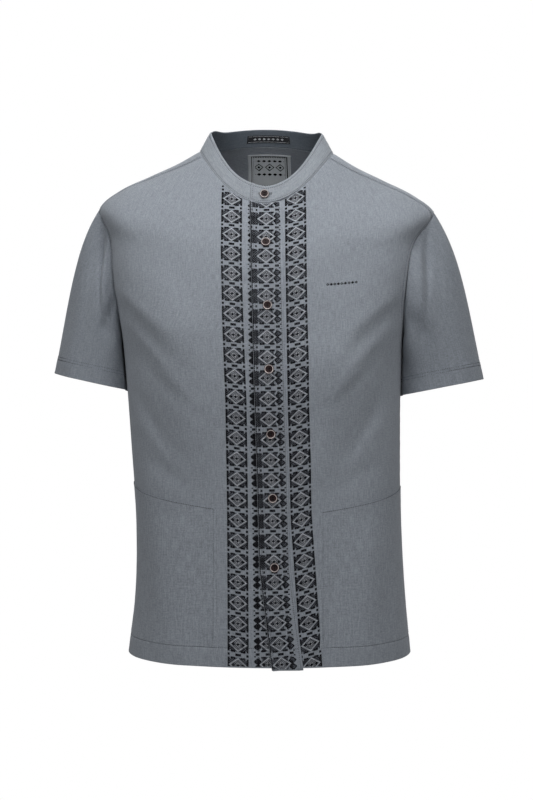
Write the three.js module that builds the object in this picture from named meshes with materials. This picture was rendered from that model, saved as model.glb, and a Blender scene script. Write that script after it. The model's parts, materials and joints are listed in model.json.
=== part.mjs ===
// Koko shirt: a short-sleeved shirt with a band collar, a buttoned placket, two low patch pockets and
// side vents, filled out as when it is worn and hollow inside.
//
// Millimetres, +Z up. The front faces -Y and the wearer's left is +X. The origin is on the centre
// plane, at the height of the two points where the shoulder line meets the collar.
//
// The whole body is one map from (turn, rise) to a point. Turn is the angle from the centre front
// towards the wearer's left, and rise runs up the cloth from the hem to the neck seam. Front, back
// and yoke are patches of that map, and what is sewn on them is made from its points, moved out.

import * as THREE from "three";

// ---- sizes --------------------------------------------------------------------------------------

const CLOTH = 1.2; // one panel
const BAND_CLOTH = 2.2; // the collar, two layers with a stiffening between
const LABEL_CLOTH = 1;
const SEAM = 0.3; // gap between two pieces, at a seam or one on the other
const POCKET_SEAM = 0.9; // a pocket's, whose facets don't follow its front's

const BODY_LENGTH = 706; // from the collar's side points to the hem
const HEM_DEPTH = 25;
const VENT_HEIGHT = 73;
const VENT_OPEN = 2.2; // degrees that each vent edge stands back at the hem

const UNDERARM_RISE = 444;
const TIP_RISE = 625; // the end of the shoulder line
const BACK_SEAM_RISE = 606; // yoke to back
const NECK_RISE = 776;
const FRONT_SEAM_RISE = 610; // yoke to front, where it ends on the armhole
const FRONT_SEAM_TURN = 68; // yoke to front, where it starts at the neck
const ARMHOLE_TURN = { frontRight: 17, frontLeft: 26, back: 20 }; // how far it cuts into each panel

const PLACKET_WIDTH = 41;
const PLACKET_LAP = 5; // how far the placket lies on the left front
const PLACKET_TOP_RISE = NECK_RISE - 4; // just under the collar
const PLACKET_EDGE_TOP = -18; // x of its free edge at the neck
const PLACKET_EDGE_BUTTONED = -2; // at the lowest button
const PLACKET_EDGE_HEM = 15;
const PLACKET_DROP = 3; // how far its end hangs below the hem
const LOWEST_BUTTON_RISE = 130;

const COLLAR_LAP_START = -11; // turn of the upper end
const COLLAR_LAP_END = 370; // turn of the end beneath it
const COLLAR_LIFT_FULL = 15; // the upper end stands proud up to this turn
const COLLAR_LIFT_NONE = 36; // and lies on the neck from this one

const BUTTON_ACROSS = 13;
const BUTTON_THICK = 3;
const BUTTON_RIM = 2.2;
const BUTTON_ROUGHNESS = 0.35;
const CLOTH_ROUGHNESS = 0.9;

const COLOURS = {
  cloth: 0x8b9199,
  sleeve: 0x7e848c,
  neckLabel: 0x9aa0a6,
  collarLabel: 0x17181b,
  button: 0x4a2c28,
};

// A table's rows as objects with its named columns.
const table = (columns, rows) =>
  rows.map((row) => Object.fromEntries(columns.map((name, k) => [name, row[k]])));

// The body's rings, from the hem up. rise: place along the cloth. Heights and depths are given at
// the centre front and the centre back. shift: how far the ring stands to the wearer's left. square:
// how full it is between its four ends. tilt: how much lower the wearer's left side hangs.
const RINGS = table(
  ["rise", "frontZ", "sideZ", "backZ", "width", "front", "back", "shift", "square", "tilt"],
  [
    [0, -709, -706, -705, 199, 133, 119, 4, 0.03, 0], // hem
    [73, -635, -633, -633, 191, 131, 116, 5, 0.03, 0], // top of the vents
    [180, -526, -526, -526, 187, 129, 109, 3, 0.03, 0],
    [285, -421, -421, -421, 190, 133, 108, -1, 0.03, 0], // waist
    [378, -331, -328, -324, 194, 140, 114, -4, 0.03, 0],
    [444, -268, -262, -254, 199, 143, 121, -5, 0.03, 1], // underarm
    [521, -205, -180, -170, 211, 138, 124, -4, 0.03, 3],
    [576, -169, -126, -116, 221, 129, 121, -2, 0.025, 4],
    [625, -140, -82, -72, 236, 119, 114, 0, 0.015, 5], // tips of the shoulders
    [659, -122, -59, -43, 208, 110, 106, 0, 0.01, 5],
    [699, -107, -38, -16, 165, 101, 94, 0, 0, 4],
    [742, -93, -19, 4, 125, 92, 79, 0, 0, 3],
    [776, -83, -1, 18, 95, 83, 66, 0, 0, 2], // neck seam
  ],
);

// The largest folds: soft ridges (height above 0) and troughs, each along a line in x and z.
const FOLDS = table(
  ["face", "fromX", "fromZ", "toX", "toZ", "width", "height"],
  [
    ["front", -205, -178, -64, -322, 36, 5.5],
    ["front", 190, -182, 70, -322, 36, 5.5],
    ["front", -178, -262, -92, -378, 30, -3.5],
    ["front", 176, -262, 96, -384, 30, -3.5],
    ["front", -118, -540, -126, -706, 26, 3],
    ["front", 128, -550, 134, -706, 26, 3],
    ["back", -150, -190, -70, -400, 34, -4],
    ["back", 150, -190, 74, -390, 34, -4],
    ["back", -60, -470, -84, -706, 34, 4],
    ["back", 66, -490, 92, -706, 34, 4],
  ],
);

// How the collar leaves the neck seam: how far it rises and leans in at each end of its ring.
const COLLAR = [
  { end: "front", rise: 23, lean: 8 },
  { end: "side", rise: 27, lean: 15 },
  { end: "back", rise: 24, lean: 5 },
];

// Sleeves: the cuff's ring, tilted so that its outer end is the higher one.
const SLEEVES = [
  { name: "sleeve_right", side: -1, cuffX: -248, cuffY: 21, cuffZ: -326, width: 58, depth: 66, drop: 26 },
  { name: "sleeve_left", side: 1, cuffX: 247, cuffY: 21, cuffZ: -334, width: 61, depth: 65, drop: 24 },
];
const SLEEVE_OFF = { outward: 0.56, forward: 0.16, down: 0.82 }; // how the sleeve leaves the armhole
const UNDERARM_OUTWARD = 0.06; // there it drops almost straight
const SLEEVE_HANG = { outward: 0.22, forward: 0, down: 0.975 }; // how it reaches the cuff
const SLEEVE_START = 0.3; // share of the way over which it leaves
const SLEEVE_END = 0.35;
const SLEEVE_CLEAR = 2; // from the body's side

// Folds of a sleeve: around is the angle from the shoulder line towards the front, along the share
// of the way to the cuff.
const SLEEVE_FOLDS = table(
  ["around", "along", "spread", "reach", "height"],
  [
    [50, 0.2, 16, 0.14, -4.5],
    [104, 0.55, 16, 0.3, -4],
    [62, 0.75, 18, 0.35, 3],
    [256, 0.5, 18, 0.3, -4],
    [306, 0.35, 18, 0.25, 3],
  ],
);

// Buttons down the front, by their height; the first is on the collar.
const COLLAR_BUTTON_SHARE = 0.5; // of the collar's height
const COLLAR_BUTTON_X = 1.5;
const BUTTON_HEIGHTS = [-141, -226, -311, -397, -483, -576];

// Patch pockets on the fronts: the inner edge's x, the outer edge's share of the front's width, and
// the slanted mouth's rise at each.
const POCKETS = [
  { name: "pocket_right", front: "front_right", innerX: -61, outer: 0.018, innerRise: 207, outerRise: 240 },
  { name: "pocket_left", front: "front_left", innerX: 79, outer: 0.978, innerRise: 203, outerRise: 234 },
];

// Labels on the inner side, centred on the centre back. from and to are shares: down the yoke from
// the neck seam for the large one, up the collar for the small one.
const NECK_LABEL = { across: 64, from: 754, to: 664, columns: 6 };
const COLLAR_LABEL = { across: 57, from: 0.26, to: 0.68, columns: 6, rows: 1 };

// How finely each patch is cut.
const CUTS = {
  vent: 2, // rows beside the vent
  body: 12, // rows from the vent to the underarm
  armhole: 9, // rows beside the armhole, up to the yoke
  yokeSeam: 5, // rows beside the yoke
  front: 13, // columns of a front
  back: 22, // columns of the back
  yokeEdge: 4, // columns of the yoke at each half of an armhole
  placket: 3,
  collar: 64,
  collarRows: 2,
  sleeve: 11,
  pocket: 12,
  pocketRows: 6,
  button: 20,
};

// ---- curves and the body's map ------------------------------------------------------------------

const radians = THREE.MathUtils.degToRad;
const { lerp, smoothstep } = THREE.MathUtils;
const steps = (from, to, count) => Array.from({ length: count + 1 }, (_, k) => lerp(from, to, k / count));

// Slope of a column at each row: the mean of the secants on both sides, each weighed by the other's
// length, so that the curve through the rows has no kink.
function slopesOf(rows, key) {
  const secants = rows.slice(1).map((row, k) => (row[key] - rows[k][key]) / (row.rise - rows[k].rise));
  return rows.map((row, k) => {
    if (k === 0) return secants[0];
    if (k === rows.length - 1) return secants[k - 1];
    const before = row.rise - rows[k - 1].rise;
    const after = rows[k + 1].rise - row.rise;
    return (secants[k - 1] * after + secants[k] * before) / (before + after);
  });
}

const RING_KEYS = Object.keys(RINGS[0]).filter((key) => key !== "rise");
const RING_SLOPES = Object.fromEntries(RING_KEYS.map((key) => [key, slopesOf(RINGS, key)]));

// The ring at any rise, by a cubic span between its two neighbours in the table.
function ringAt(rise) {
  const inner = RINGS.slice(1, -1);
  const k = inner.filter((row) => row.rise <= rise).length;
  const [low, high] = [RINGS[k], RINGS[k + 1]];
  const span = high.rise - low.rise;
  const t = (rise - low.rise) / span;
  const bend = t * t * (3 - 2 * t);
  const leave = t * (1 - t) * (1 - t) * span;
  const arrive = t * t * (t - 1) * span;
  return Object.fromEntries(
    RING_KEYS.map((key) => {
      const slopes = RING_SLOPES[key];
      return [key, lerp(low[key], high[key], bend) + leave * slopes[k] + arrive * slopes[k + 1]];
    }),
  );
}

// Height of all folds at a place on the front or the back.
function foldsAt(face, x, z) {
  let sum = 0;
  for (const fold of FOLDS) {
    if (fold.face !== face) continue;
    const alongX = fold.toX - fold.fromX;
    const alongZ = fold.toZ - fold.fromZ;
    const share = ((x - fold.fromX) * alongX + (z - fold.fromZ) * alongZ) / (alongX ** 2 + alongZ ** 2);
    const held = THREE.MathUtils.clamp(share, 0, 1);
    const away = Math.hypot(x - fold.fromX - held * alongX, z - fold.fromZ - held * alongZ);
    sum += fold.height * Math.exp(-((away / fold.width) ** 2));
  }
  return sum;
}

// The body's map: turn in degrees, rise in millimetres up the cloth.
function bodyPoint(turn, rise) {
  const ring = ringAt(rise);
  const angle = radians(turn);
  const sin = Math.sin(angle);
  const cos = Math.cos(angle);
  const across = (sin + ring.square * Math.sin(3 * angle)) / (1 - ring.square);
  const deep = (cos - ring.square * Math.cos(3 * angle)) / (1 - ring.square);
  const [face, depth, endZ] = cos > 0 ? ["front", ring.front, ring.frontZ] : ["back", ring.back, ring.backZ];
  const height = ring.sideZ + (endZ - ring.sideZ) * cos * cos - ring.tilt * sin;
  const point = new THREE.Vector3(ring.width * across, -depth * deep, height);
  const outward = new THREE.Vector3(across / ring.width, -deep / depth, 0).normalize();
  const fold = foldsAt(face, point.x, point.z) * smoothstep(Math.abs(cos), 0, 0.45);
  point.addScaledVector(outward, fold);
  point.x += ring.shift;
  return point;
}

// A point of the body with its outward normal.
function onBody(turn, rise) {
  const [turnStep, riseStep] = [0.2, 0.5];
  const aroundCloth = bodyPoint(turn + turnStep, rise).sub(bodyPoint(turn - turnStep, rise));
  const upCloth = bodyPoint(turn, rise + riseStep).sub(bodyPoint(turn, rise - riseStep));
  return { point: bodyPoint(turn, rise), normal: aroundCloth.cross(upCloth).normalize() };
}

// The turn at which the front has a given x, near the centre front.
function turnAtX(x, rise) {
  const ring = ringAt(rise);
  const sine = ((x - ring.shift) / ring.width) * (1 - ring.square) / (1 + 3 * ring.square);
  return THREE.MathUtils.radToDeg(Math.asin(sine));
}

const ARMHOLE_MIDDLE = (UNDERARM_RISE + TIP_RISE) / 2;
const ARMHOLE_REACH = (TIP_RISE - UNDERARM_RISE) / 2;

// How far the armhole cuts in at a rise, in degrees of turn: half an ellipse from the underarm to the
// tip of the shoulder, wider or narrower by panel. side is 1 on the wearer's left and -1 on the right.
const armholeCut = (side, front) =>
  front ? (side > 0 ? ARMHOLE_TURN.frontLeft : ARMHOLE_TURN.frontRight) : ARMHOLE_TURN.back;
const armholeHalf = (rise, side, front) =>
  armholeCut(side, front) * Math.sqrt(Math.max(0, 1 - ((rise - ARMHOLE_MIDDLE) / ARMHOLE_REACH) ** 2));

// The turn of a front's outer edge: the vent, the side seam, the armhole and the yoke's front seam.
function frontEdgeTurn(rise, side) {
  if (rise <= UNDERARM_RISE) return 90 - VENT_OPEN * Math.max(0, 1 - rise / VENT_HEIGHT);
  if (rise <= FRONT_SEAM_RISE) return 90 - armholeHalf(rise, side, true);
  const share = (rise - FRONT_SEAM_RISE) / (NECK_RISE - FRONT_SEAM_RISE);
  return lerp(90 - armholeHalf(FRONT_SEAM_RISE, side, true), FRONT_SEAM_TURN, share);
}

function backEdgeTurn(rise, side) {
  if (rise <= UNDERARM_RISE) return 90 + VENT_OPEN * Math.max(0, 1 - rise / VENT_HEIGHT);
  return 90 + armholeHalf(rise, side, false);
}

// x of the placket's free edge, which swings open a little below the lowest button.
function placketEdgeX(rise) {
  if (rise < LOWEST_BUTTON_RISE)
    return lerp(PLACKET_EDGE_HEM, PLACKET_EDGE_BUTTONED, rise / LOWEST_BUTTON_RISE);
  const share = (rise - LOWEST_BUTTON_RISE) / (NECK_RISE - LOWEST_BUTTON_RISE);
  return lerp(PLACKET_EDGE_BUTTONED, PLACKET_EDGE_TOP, share);
}

// Rises beside the armhole, closer together where its edge runs across the cloth.
function armholeRises(topRise) {
  const end = Math.acos((ARMHOLE_MIDDLE - topRise) / ARMHOLE_REACH);
  return steps(0, end, CUTS.armhole).map((angle) => ARMHOLE_MIDDLE - ARMHOLE_REACH * Math.cos(angle));
}

const VENT_RISES = steps(0, VENT_HEIGHT, CUTS.vent).slice(0, -1);
const BODY_RISES = [...VENT_RISES, ...steps(VENT_HEIGHT, UNDERARM_RISE, CUTS.body)];
const FRONT_RISES = [
  ...BODY_RISES,
  ...armholeRises(FRONT_SEAM_RISE).slice(1),
  ...steps(FRONT_SEAM_RISE, NECK_RISE, CUTS.yokeSeam).slice(1),
];
const BACK_RISES = [...BODY_RISES, ...armholeRises(BACK_SEAM_RISE).slice(1)];

// ---- walls from grids ---------------------------------------------------------------------------

// A grid is a list of rows of { point, normal }; its columns run with the turn and its rows up the
// cloth, so that its normals point out.

// The grid's border, in order once round.
function borderOf(grid) {
  const [first, last] = [grid[0], grid.at(-1)];
  const between = grid.slice(1, -1);
  return [
    ...first,
    ...between.map((row) => row.at(-1)),
    ...last.slice().reverse(),
    ...between.map((row) => row[0]).reverse(),
  ];
}

// Draws the border in by half a seam's gap, square to itself and along the cloth.
function drawnIn(grid) {
  const border = borderOf(grid);
  const count = border.length;
  const moves = border.map(({ normal }, k) => {
    const along = border[(k + 1) % count].point.clone().sub(border[(k + count - 1) % count].point);
    return normal.clone().cross(along).setLength(SEAM / 2);
  });
  border.forEach(({ point }, k) => point.add(moves[k]));
  return grid;
}

// A closed wall between the grid's points and the same points moved in along their normals. A round
// grid closes on its first column.
function wallOf(grid, thickness, round = false) {
  const [rows, columns] = [grid.length, grid[0].length];
  const positions = [];
  for (const depth of [0, thickness])
    for (const { point, normal } of grid.flat())
      positions.push(...point.clone().addScaledVector(normal, -depth).toArray());
  const at = (layer, i, j) => (layer * rows + i) * columns + (j % columns);
  const index = [];
  const quad = (a, b, c, d) => index.push(a, b, c, a, c, d);
  const [top, spans] = [rows - 1, round ? columns : columns - 1];
  for (let j = 0; j < spans; j++) {
    for (let i = 0; i < top; i++) {
      quad(at(0, i, j), at(0, i, j + 1), at(0, i + 1, j + 1), at(0, i + 1, j));
      quad(at(1, i, j), at(1, i + 1, j), at(1, i + 1, j + 1), at(1, i, j + 1));
    }
    quad(at(1, 0, j), at(1, 0, j + 1), at(0, 0, j + 1), at(0, 0, j));
    quad(at(0, top, j), at(0, top, j + 1), at(1, top, j + 1), at(1, top, j));
  }
  for (let i = 0; i < top && !round; i++) {
    quad(at(0, i, 0), at(0, i + 1, 0), at(1, i + 1, 0), at(1, i, 0));
    quad(at(1, i, spans), at(1, i + 1, spans), at(0, i + 1, spans), at(0, i, spans));
  }
  const geometry = new THREE.BufferGeometry();
  geometry.setAttribute("position", new THREE.Float32BufferAttribute(positions, 3));
  geometry.setIndex(index);
  geometry.computeVertexNormals();
  return geometry;
}

// The same grid, moved along its normals.
const moved = (grid, distance) =>
  grid.map((row) =>
    row.map(({ point, normal }) => ({ point: point.clone().addScaledVector(normal, distance), normal })),
  );

const shirt = new THREE.Group();
shirt.name = "koko_shirt";

function addPiece(name, geometry, color, roughness = CLOTH_ROUGHNESS) {
  const material = new THREE.MeshStandardMaterial({ color, roughness, metalness: 0 });
  const mesh = new THREE.Mesh(geometry, material);
  mesh.name = name;
  shirt.add(mesh);
  return mesh;
}

// ---- fronts, back and yoke ----------------------------------------------------------------------

// The front's inner edge: the left front ends at the placket's seam, and the right one runs on
// beneath the placket, just short of it.
const placketSeamX = (rise) => placketEdgeX(rise) + PLACKET_WIDTH - PLACKET_LAP;

// A point of a front, by its share of the way along the row.
function onFront(name, share, rise) {
  const inner = turnAtX(placketSeamX(rise), rise);
  return name === "front_left"
    ? onBody(lerp(inner, frontEdgeTurn(rise, 1), share), rise)
    : onBody(lerp(-frontEdgeTurn(rise, -1), inner, share), rise);
}

for (const name of ["front_right", "front_left"]) {
  const grid = FRONT_RISES.map((rise) => steps(0, 1, CUTS.front).map((share) => onFront(name, share, rise)));
  addPiece(name, wallOf(drawnIn(grid), CLOTH), COLOURS.cloth);
}

const backGrid = BACK_RISES.map((rise) => {
  const [left, right] = [backEdgeTurn(rise, 1), backEdgeTurn(rise, -1)];
  return steps(left, 360 - right, CUTS.back).map((turn) => onBody(turn, rise));
});
addPiece("back", wallOf(drawnIn(backGrid), CLOTH), COLOURS.cloth);

// The yoke's outer edge from its left front seam round the back to the right one: an armhole, the
// back seam and the other armhole, as turn and rise.
const backSeamTurn = backEdgeTurn(BACK_SEAM_RISE, 1);
const armholeAngle = (rise) => Math.acos((rise - ARMHOLE_MIDDLE) / ARMHOLE_REACH);
const yokeArmhole = (side) =>
  [
    ...steps(-armholeAngle(FRONT_SEAM_RISE), 0, CUTS.yokeEdge),
    ...steps(0, armholeAngle(BACK_SEAM_RISE), CUTS.yokeEdge).slice(1),
  ].map((angle) => ({
    turn: 90 + armholeCut(side, angle < 0) * Math.sin(angle),
    rise: ARMHOLE_MIDDLE + ARMHOLE_REACH * Math.cos(angle),
  }));
const yokeEdge = [
  ...yokeArmhole(1),
  ...steps(backSeamTurn, 360 - backSeamTurn, CUTS.back)
    .slice(1, -1)
    .map((turn) => ({ turn, rise: BACK_SEAM_RISE })),
  ...yokeArmhole(-1).map(({ turn, rise }) => ({ turn: 360 - turn, rise })).reverse(),
];

// Where a column of the yoke meets the neck: the front seams swing in, the rest keeps its turn.
function yokeNeckTurn(turn) {
  const first = turn < 180 ? yokeEdge[0].turn : 360 - yokeEdge.at(-1).turn;
  const fromSide = Math.min(turn, 360 - turn);
  const swing = (first - FRONT_SEAM_TURN) * Math.max(0, (backSeamTurn - fromSide) / (backSeamTurn - first));
  return turn + (turn < 180 ? -swing : swing);
}

const yokeGrid = steps(0, 1, CUTS.yokeSeam).map((share) =>
  yokeEdge.map(({ turn, rise }) =>
    onBody(lerp(turn, yokeNeckTurn(turn), share), lerp(rise, NECK_RISE, share)),
  ),
);
addPiece("yoke", wallOf(drawnIn(yokeGrid), CLOTH), COLOURS.cloth);

// ---- placket, pockets and labels ----------------------------------------------------------------

// The placket lies on both fronts, from its free edge to its seam on the left front.
const placketGrid = [-PLACKET_DROP, ...FRONT_RISES.slice(1, -1), PLACKET_TOP_RISE].map((rise) =>
  steps(0, PLACKET_WIDTH, CUTS.placket).map((across) =>
    onBody(turnAtX(placketEdgeX(rise) + across, rise), rise),
  ),
);
addPiece("placket", wallOf(moved(placketGrid, SEAM + CLOTH), CLOTH), COLOURS.cloth);

// The share of a front's width at which it has a given x.
function shareAtX(front, x, rise) {
  const [turn, inner] = [turnAtX(x, rise), turnAtX(placketSeamX(rise), rise)];
  const outer = front === "front_left" ? frontEdgeTurn(rise, 1) : -frontEdgeTurn(rise, -1);
  const share = (turn - inner) / (outer - inner);
  return front === "front_left" ? share : 1 - share;
}

for (const { name, front, innerX, outer, innerRise, outerRise } of POCKETS) {
  const grid = steps(0, 1, CUTS.pocketRows).map((up) => {
    const inner = shareAtX(front, innerX, lerp(HEM_DEPTH, innerRise, up));
    const columns = steps(0, 1, CUTS.pocket).map((across) => {
      const mouth = lerp(innerRise, outerRise, across);
      return onFront(front, lerp(inner, outer, across), lerp(HEM_DEPTH, mouth, up));
    });
    return inner < outer ? columns : columns.reverse();
  });
  addPiece(name, wallOf(moved(grid, POCKET_SEAM + CLOTH), CLOTH), COLOURS.cloth);
}

// The collar's middle line and normal at a turn, and at a share of its height above the neck seam.
function onCollar(turn, share) {
  const [front, side, back] = COLLAR;
  const seamAt = (angle) => {
    const { point } = onBody(angle, NECK_RISE);
    const cos = Math.cos(radians(angle));
    const end = cos > 0 ? front : back;
    const [rise, lean] = ["rise", "lean"].map((key) => lerp(side[key], end[key], cos * cos));
    const inward = new THREE.Vector3(-point.x, -point.y, 0).setLength(lean * share);
    return point.add(inward).add(new THREE.Vector3(0, 0, SEAM + rise * share));
  };
  const around = seamAt(turn + 0.5).sub(seamAt(turn - 0.5));
  const [cos, sin] = [Math.cos(radians(turn)), Math.sin(radians(turn))];
  const up = new THREE.Vector3(-sin * side.lean, cos * front.lean, side.rise);
  const normal = around.cross(up).normalize();
  const proud = BAND_CLOTH + SEAM + 0.1;
  const lift = turn < 180 ? proud * (1 - smoothstep(turn, COLLAR_LIFT_FULL, COLLAR_LIFT_NONE)) : 0;
  return { point: seamAt(turn).addScaledVector(normal, lift), normal };
}

const collarGrid = steps(0, 1, CUTS.collarRows).map((share) =>
  steps(COLLAR_LAP_START, COLLAR_LAP_END, CUTS.collar).map((turn) => onCollar(turn, share)),
);
addPiece("collar_band", wallOf(collarGrid, BAND_CLOTH), COLOURS.cloth);

// A label's columns, evenly across the centre back of a ring of the given half width.
const labelTurns = ({ across, columns }, width) => {
  const half = THREE.MathUtils.radToDeg(across / 2 / width);
  return steps(180 - half, 180 + half, columns);
};

const yokeRises = steps(BACK_SEAM_RISE, NECK_RISE, CUTS.yokeSeam);
const labelRises = [
  NECK_LABEL.to,
  ...yokeRises.filter((rise) => rise > NECK_LABEL.to && rise < NECK_LABEL.from),
  NECK_LABEL.from,
];
const neckLabelGrid = labelRises.map((rise) =>
  labelTurns(NECK_LABEL, ringAt(rise).width).map((turn) => onBody(turn, rise)),
);
addPiece("neck_label", wallOf(moved(neckLabelGrid, -CLOTH - 3 * SEAM), LABEL_CLOTH), COLOURS.neckLabel);

const collarLabelGrid = steps(COLLAR_LABEL.from, COLLAR_LABEL.to, COLLAR_LABEL.rows).map((share) =>
  labelTurns(COLLAR_LABEL, ringAt(NECK_RISE).width - COLLAR[1].lean).map((turn) => onCollar(turn, share)),
);
const collarLabelWall = wallOf(moved(collarLabelGrid, -BAND_CLOTH - SEAM), LABEL_CLOTH);
addPiece("collar_label", collarLabelWall, COLOURS.collarLabel);

// ---- sleeves ------------------------------------------------------------------------------------

// The armhole once round from the tip over the front and the underarm: turn and rise.
function armholeLoop(side) {
  const front = armholeRises(FRONT_SEAM_RISE).map((rise) => ({ turn: frontEdgeTurn(rise, side), rise }));
  const back = armholeRises(BACK_SEAM_RISE).map((rise) => ({ turn: backEdgeTurn(rise, side), rise }));
  const [shoulder, tip] = [yokeArmhole(side), CUTS.yokeEdge];
  return [
    ...shoulder.slice(1, tip + 1).reverse(),
    ...front.reverse(),
    ...back.slice(1),
    ...shoulder.slice(tip + 1, -1).reverse(),
  ];
}

// Angle of each point of the loop: 0 at the tip, 180 at the underarm, by the length of the edge.
function loopAngles(points, underarm) {
  const lengths = points.map((point, k) => point.distanceTo(points[(k + 1) % points.length]));
  const sum = (from, to) => lengths.slice(from, to).reduce((total, length) => total + length, 0);
  const [down, up] = [sum(0, underarm), sum(underarm)];
  return points.map((_, k) =>
    k <= underarm ? (180 * sum(0, k)) / down : 180 + (180 * sum(underarm, k)) / up,
  );
}

// Half width of the body at a depth and a height below the underarm.
function bodySide(side, y, z) {
  const ring = ringAt(z + BODY_LENGTH);
  const depth = y < 0 ? ring.front : ring.back;
  const angle = Math.acos(THREE.MathUtils.clamp(-y / depth, -1, 1));
  const across = (Math.sin(angle) + ring.square * Math.sin(3 * angle)) / (1 - ring.square);
  return ring.width * across + side * ring.shift;
}

function sleeveFold(around, along) {
  let sum = 0;
  for (const fold of SLEEVE_FOLDS) {
    const off = ((around - fold.around + 540) % 360) - 180;
    sum += fold.height * Math.exp(-((off / fold.spread) ** 2) - ((along - fold.along) / fold.reach) ** 2);
  }
  return sum;
}

const heading = (side, angle, { outward, forward, down }, least = outward) =>
  new THREE.Vector3(
    side * lerp(least, outward, (1 + Math.cos(angle)) / 2),
    -forward * Math.sin(angle),
    -down,
  ).normalize();

// A smooth curve leads from each point of the armhole to its place on the cuff.
function sleeveGrid({ side, cuffX, cuffY, cuffZ, width, depth, drop }) {
  const loop = armholeLoop(side).map(({ turn, rise }) => onBody(side * turn, rise));
  const underarm = CUTS.yokeEdge + CUTS.armhole;
  const angles = loopAngles(loop.map(({ point }) => point), underarm);
  const hole = loop.map(({ point, normal }, k) => {
    const before = loop[(k + loop.length - 1) % loop.length].point;
    const after = loop[(k + 1) % loop.length].point;
    const off = normal.clone().cross(after.clone().sub(before)).setLength((side * SEAM) / 2);
    return { point: point.clone().add(off), normal };
  });
  const outer = new THREE.Vector3(side * width, 0, drop / 2);
  const curves = hole.map(({ point }, k) => {
    const angle = radians(angles[k]);
    const cuff = new THREE.Vector3(cuffX, cuffY - depth * Math.sin(angle), cuffZ);
    cuff.addScaledVector(outer, Math.cos(angle));
    const reach = point.distanceTo(cuff);
    const off = heading(side, angle, SLEEVE_OFF, UNDERARM_OUTWARD);
    const leave = point.clone().addScaledVector(off, SLEEVE_START * reach);
    const arrive = cuff.clone().addScaledVector(heading(side, angle, SLEEVE_HANG), -SLEEVE_END * reach);
    return new THREE.CubicBezierCurve3(point, leave, arrive, cuff);
  });
  const points = steps(0, 1, CUTS.sleeve).map((along) => curves.map((curve) => curve.getPoint(along)));
  points.slice(1).forEach((row, step) => {
    const i = step + 1;
    const middle = row.reduce((sum, point) => sum.add(point), new THREE.Vector3()).divideScalar(row.length);
    row.forEach((point, k) => {
      const out = point.clone().sub(middle).setZ(0).normalize();
      point.addScaledVector(out, sleeveFold(angles[k], i / CUTS.sleeve));
      if (point.z > -BODY_LENGTH + UNDERARM_RISE) return;
      const least = bodySide(side, point.y, point.z) + SLEEVE_CLEAR + CLOTH;
      if (side * point.x < least) point.x = side * least;
    });
  });
  const grid = withNormals(points, side);
  grid[0].forEach((cell, k) => {
    const share = (1 + Math.cos(radians(angles[k]))) / 2;
    cell.normal.lerp(hole[k].normal, share).normalize();
  });
  return side > 0 ? grid : grid.map((row) => row.reverse());
}

// Normals of a round grid of points from its own rows and columns; side mirrors them.
function withNormals(points, side) {
  return points.map((row, i) =>
    row.map((point, k) => {
      const around = row[(k + 1) % row.length].clone().sub(row[(k + row.length - 1) % row.length]);
      const below = points[Math.max(i - 1, 0)][k];
      const above = points[Math.min(i + 1, points.length - 1)][k];
      const along = above.clone().sub(below);
      return { point, normal: around.cross(along).multiplyScalar(side).normalize() };
    }),
  );
}

for (const sleeve of SLEEVES) addPiece(sleeve.name, wallOf(sleeveGrid(sleeve), CLOTH, true), COLOURS.sleeve);

// ---- buttons ------------------------------------------------------------------------------------

// A flat round button with a raised rim, its back on z = 0.
function buttonGeometry() {
  const [half, thick, rim] = [BUTTON_ACROSS / 2, BUTTON_THICK, BUTTON_RIM];
  const profile = [
    [0, 0],
    [half - 1.2, 0],
    [half, 0.45 * thick],
    [half - 0.5 * rim, thick],
    [half - rim, 0.72 * thick],
    [0, 0.72 * thick],
  ].map(([radius, height]) => new THREE.Vector2(radius, height));
  return new THREE.LatheGeometry(profile, CUTS.button).rotateX(Math.PI / 2);
}

// Turn and rise of the placket's middle line at a height on the front.
function placketMiddle(height) {
  let [low, high] = [0, NECK_RISE];
  while (high - low > 0.01) {
    const middle = (low + high) / 2;
    if (ringAt(middle).frontZ < height) low = middle;
    else high = middle;
  }
  return { rise: low, turn: turnAtX(placketEdgeX(low) + PLACKET_WIDTH / 2 - 1, low) };
}

function addButton(name, { point, normal }) {
  const button = addPiece(name, buttonGeometry(), COLOURS.button, BUTTON_ROUGHNESS);
  button.quaternion.setFromUnitVectors(new THREE.Vector3(0, 0, 1), normal);
  button.position.copy(point).addScaledVector(normal, SEAM + 0.1);
}

addButton("button_1", onCollar(turnAtX(COLLAR_BUTTON_X, NECK_RISE), COLLAR_BUTTON_SHARE));
BUTTON_HEIGHTS.forEach((height, k) => {
  const { turn, rise } = placketMiddle(height);
  const { point, normal } = onBody(turn, rise);
  addButton("button_" + (k + 2), { point: point.addScaledVector(normal, SEAM + CLOTH), normal });
});

export default shirt;
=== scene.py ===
"""Looks of the koko shirt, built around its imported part.

Sizes are millimetres in the code and metres in Blender. The front faces -Y, the wearer's left is +X,
and the origin is level with the points where the shoulder line meets the collar.

The cloth is one map from (turn, rise) to a place: turn is the angle from the centre front towards the
wearer's left, rise runs up the cloth from the hem. Every piece is made from that map.
"""

import json
import logging
from dataclasses import dataclass, field
from enum import Enum
from functools import partial
from typing import Callable, Sequence

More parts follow.
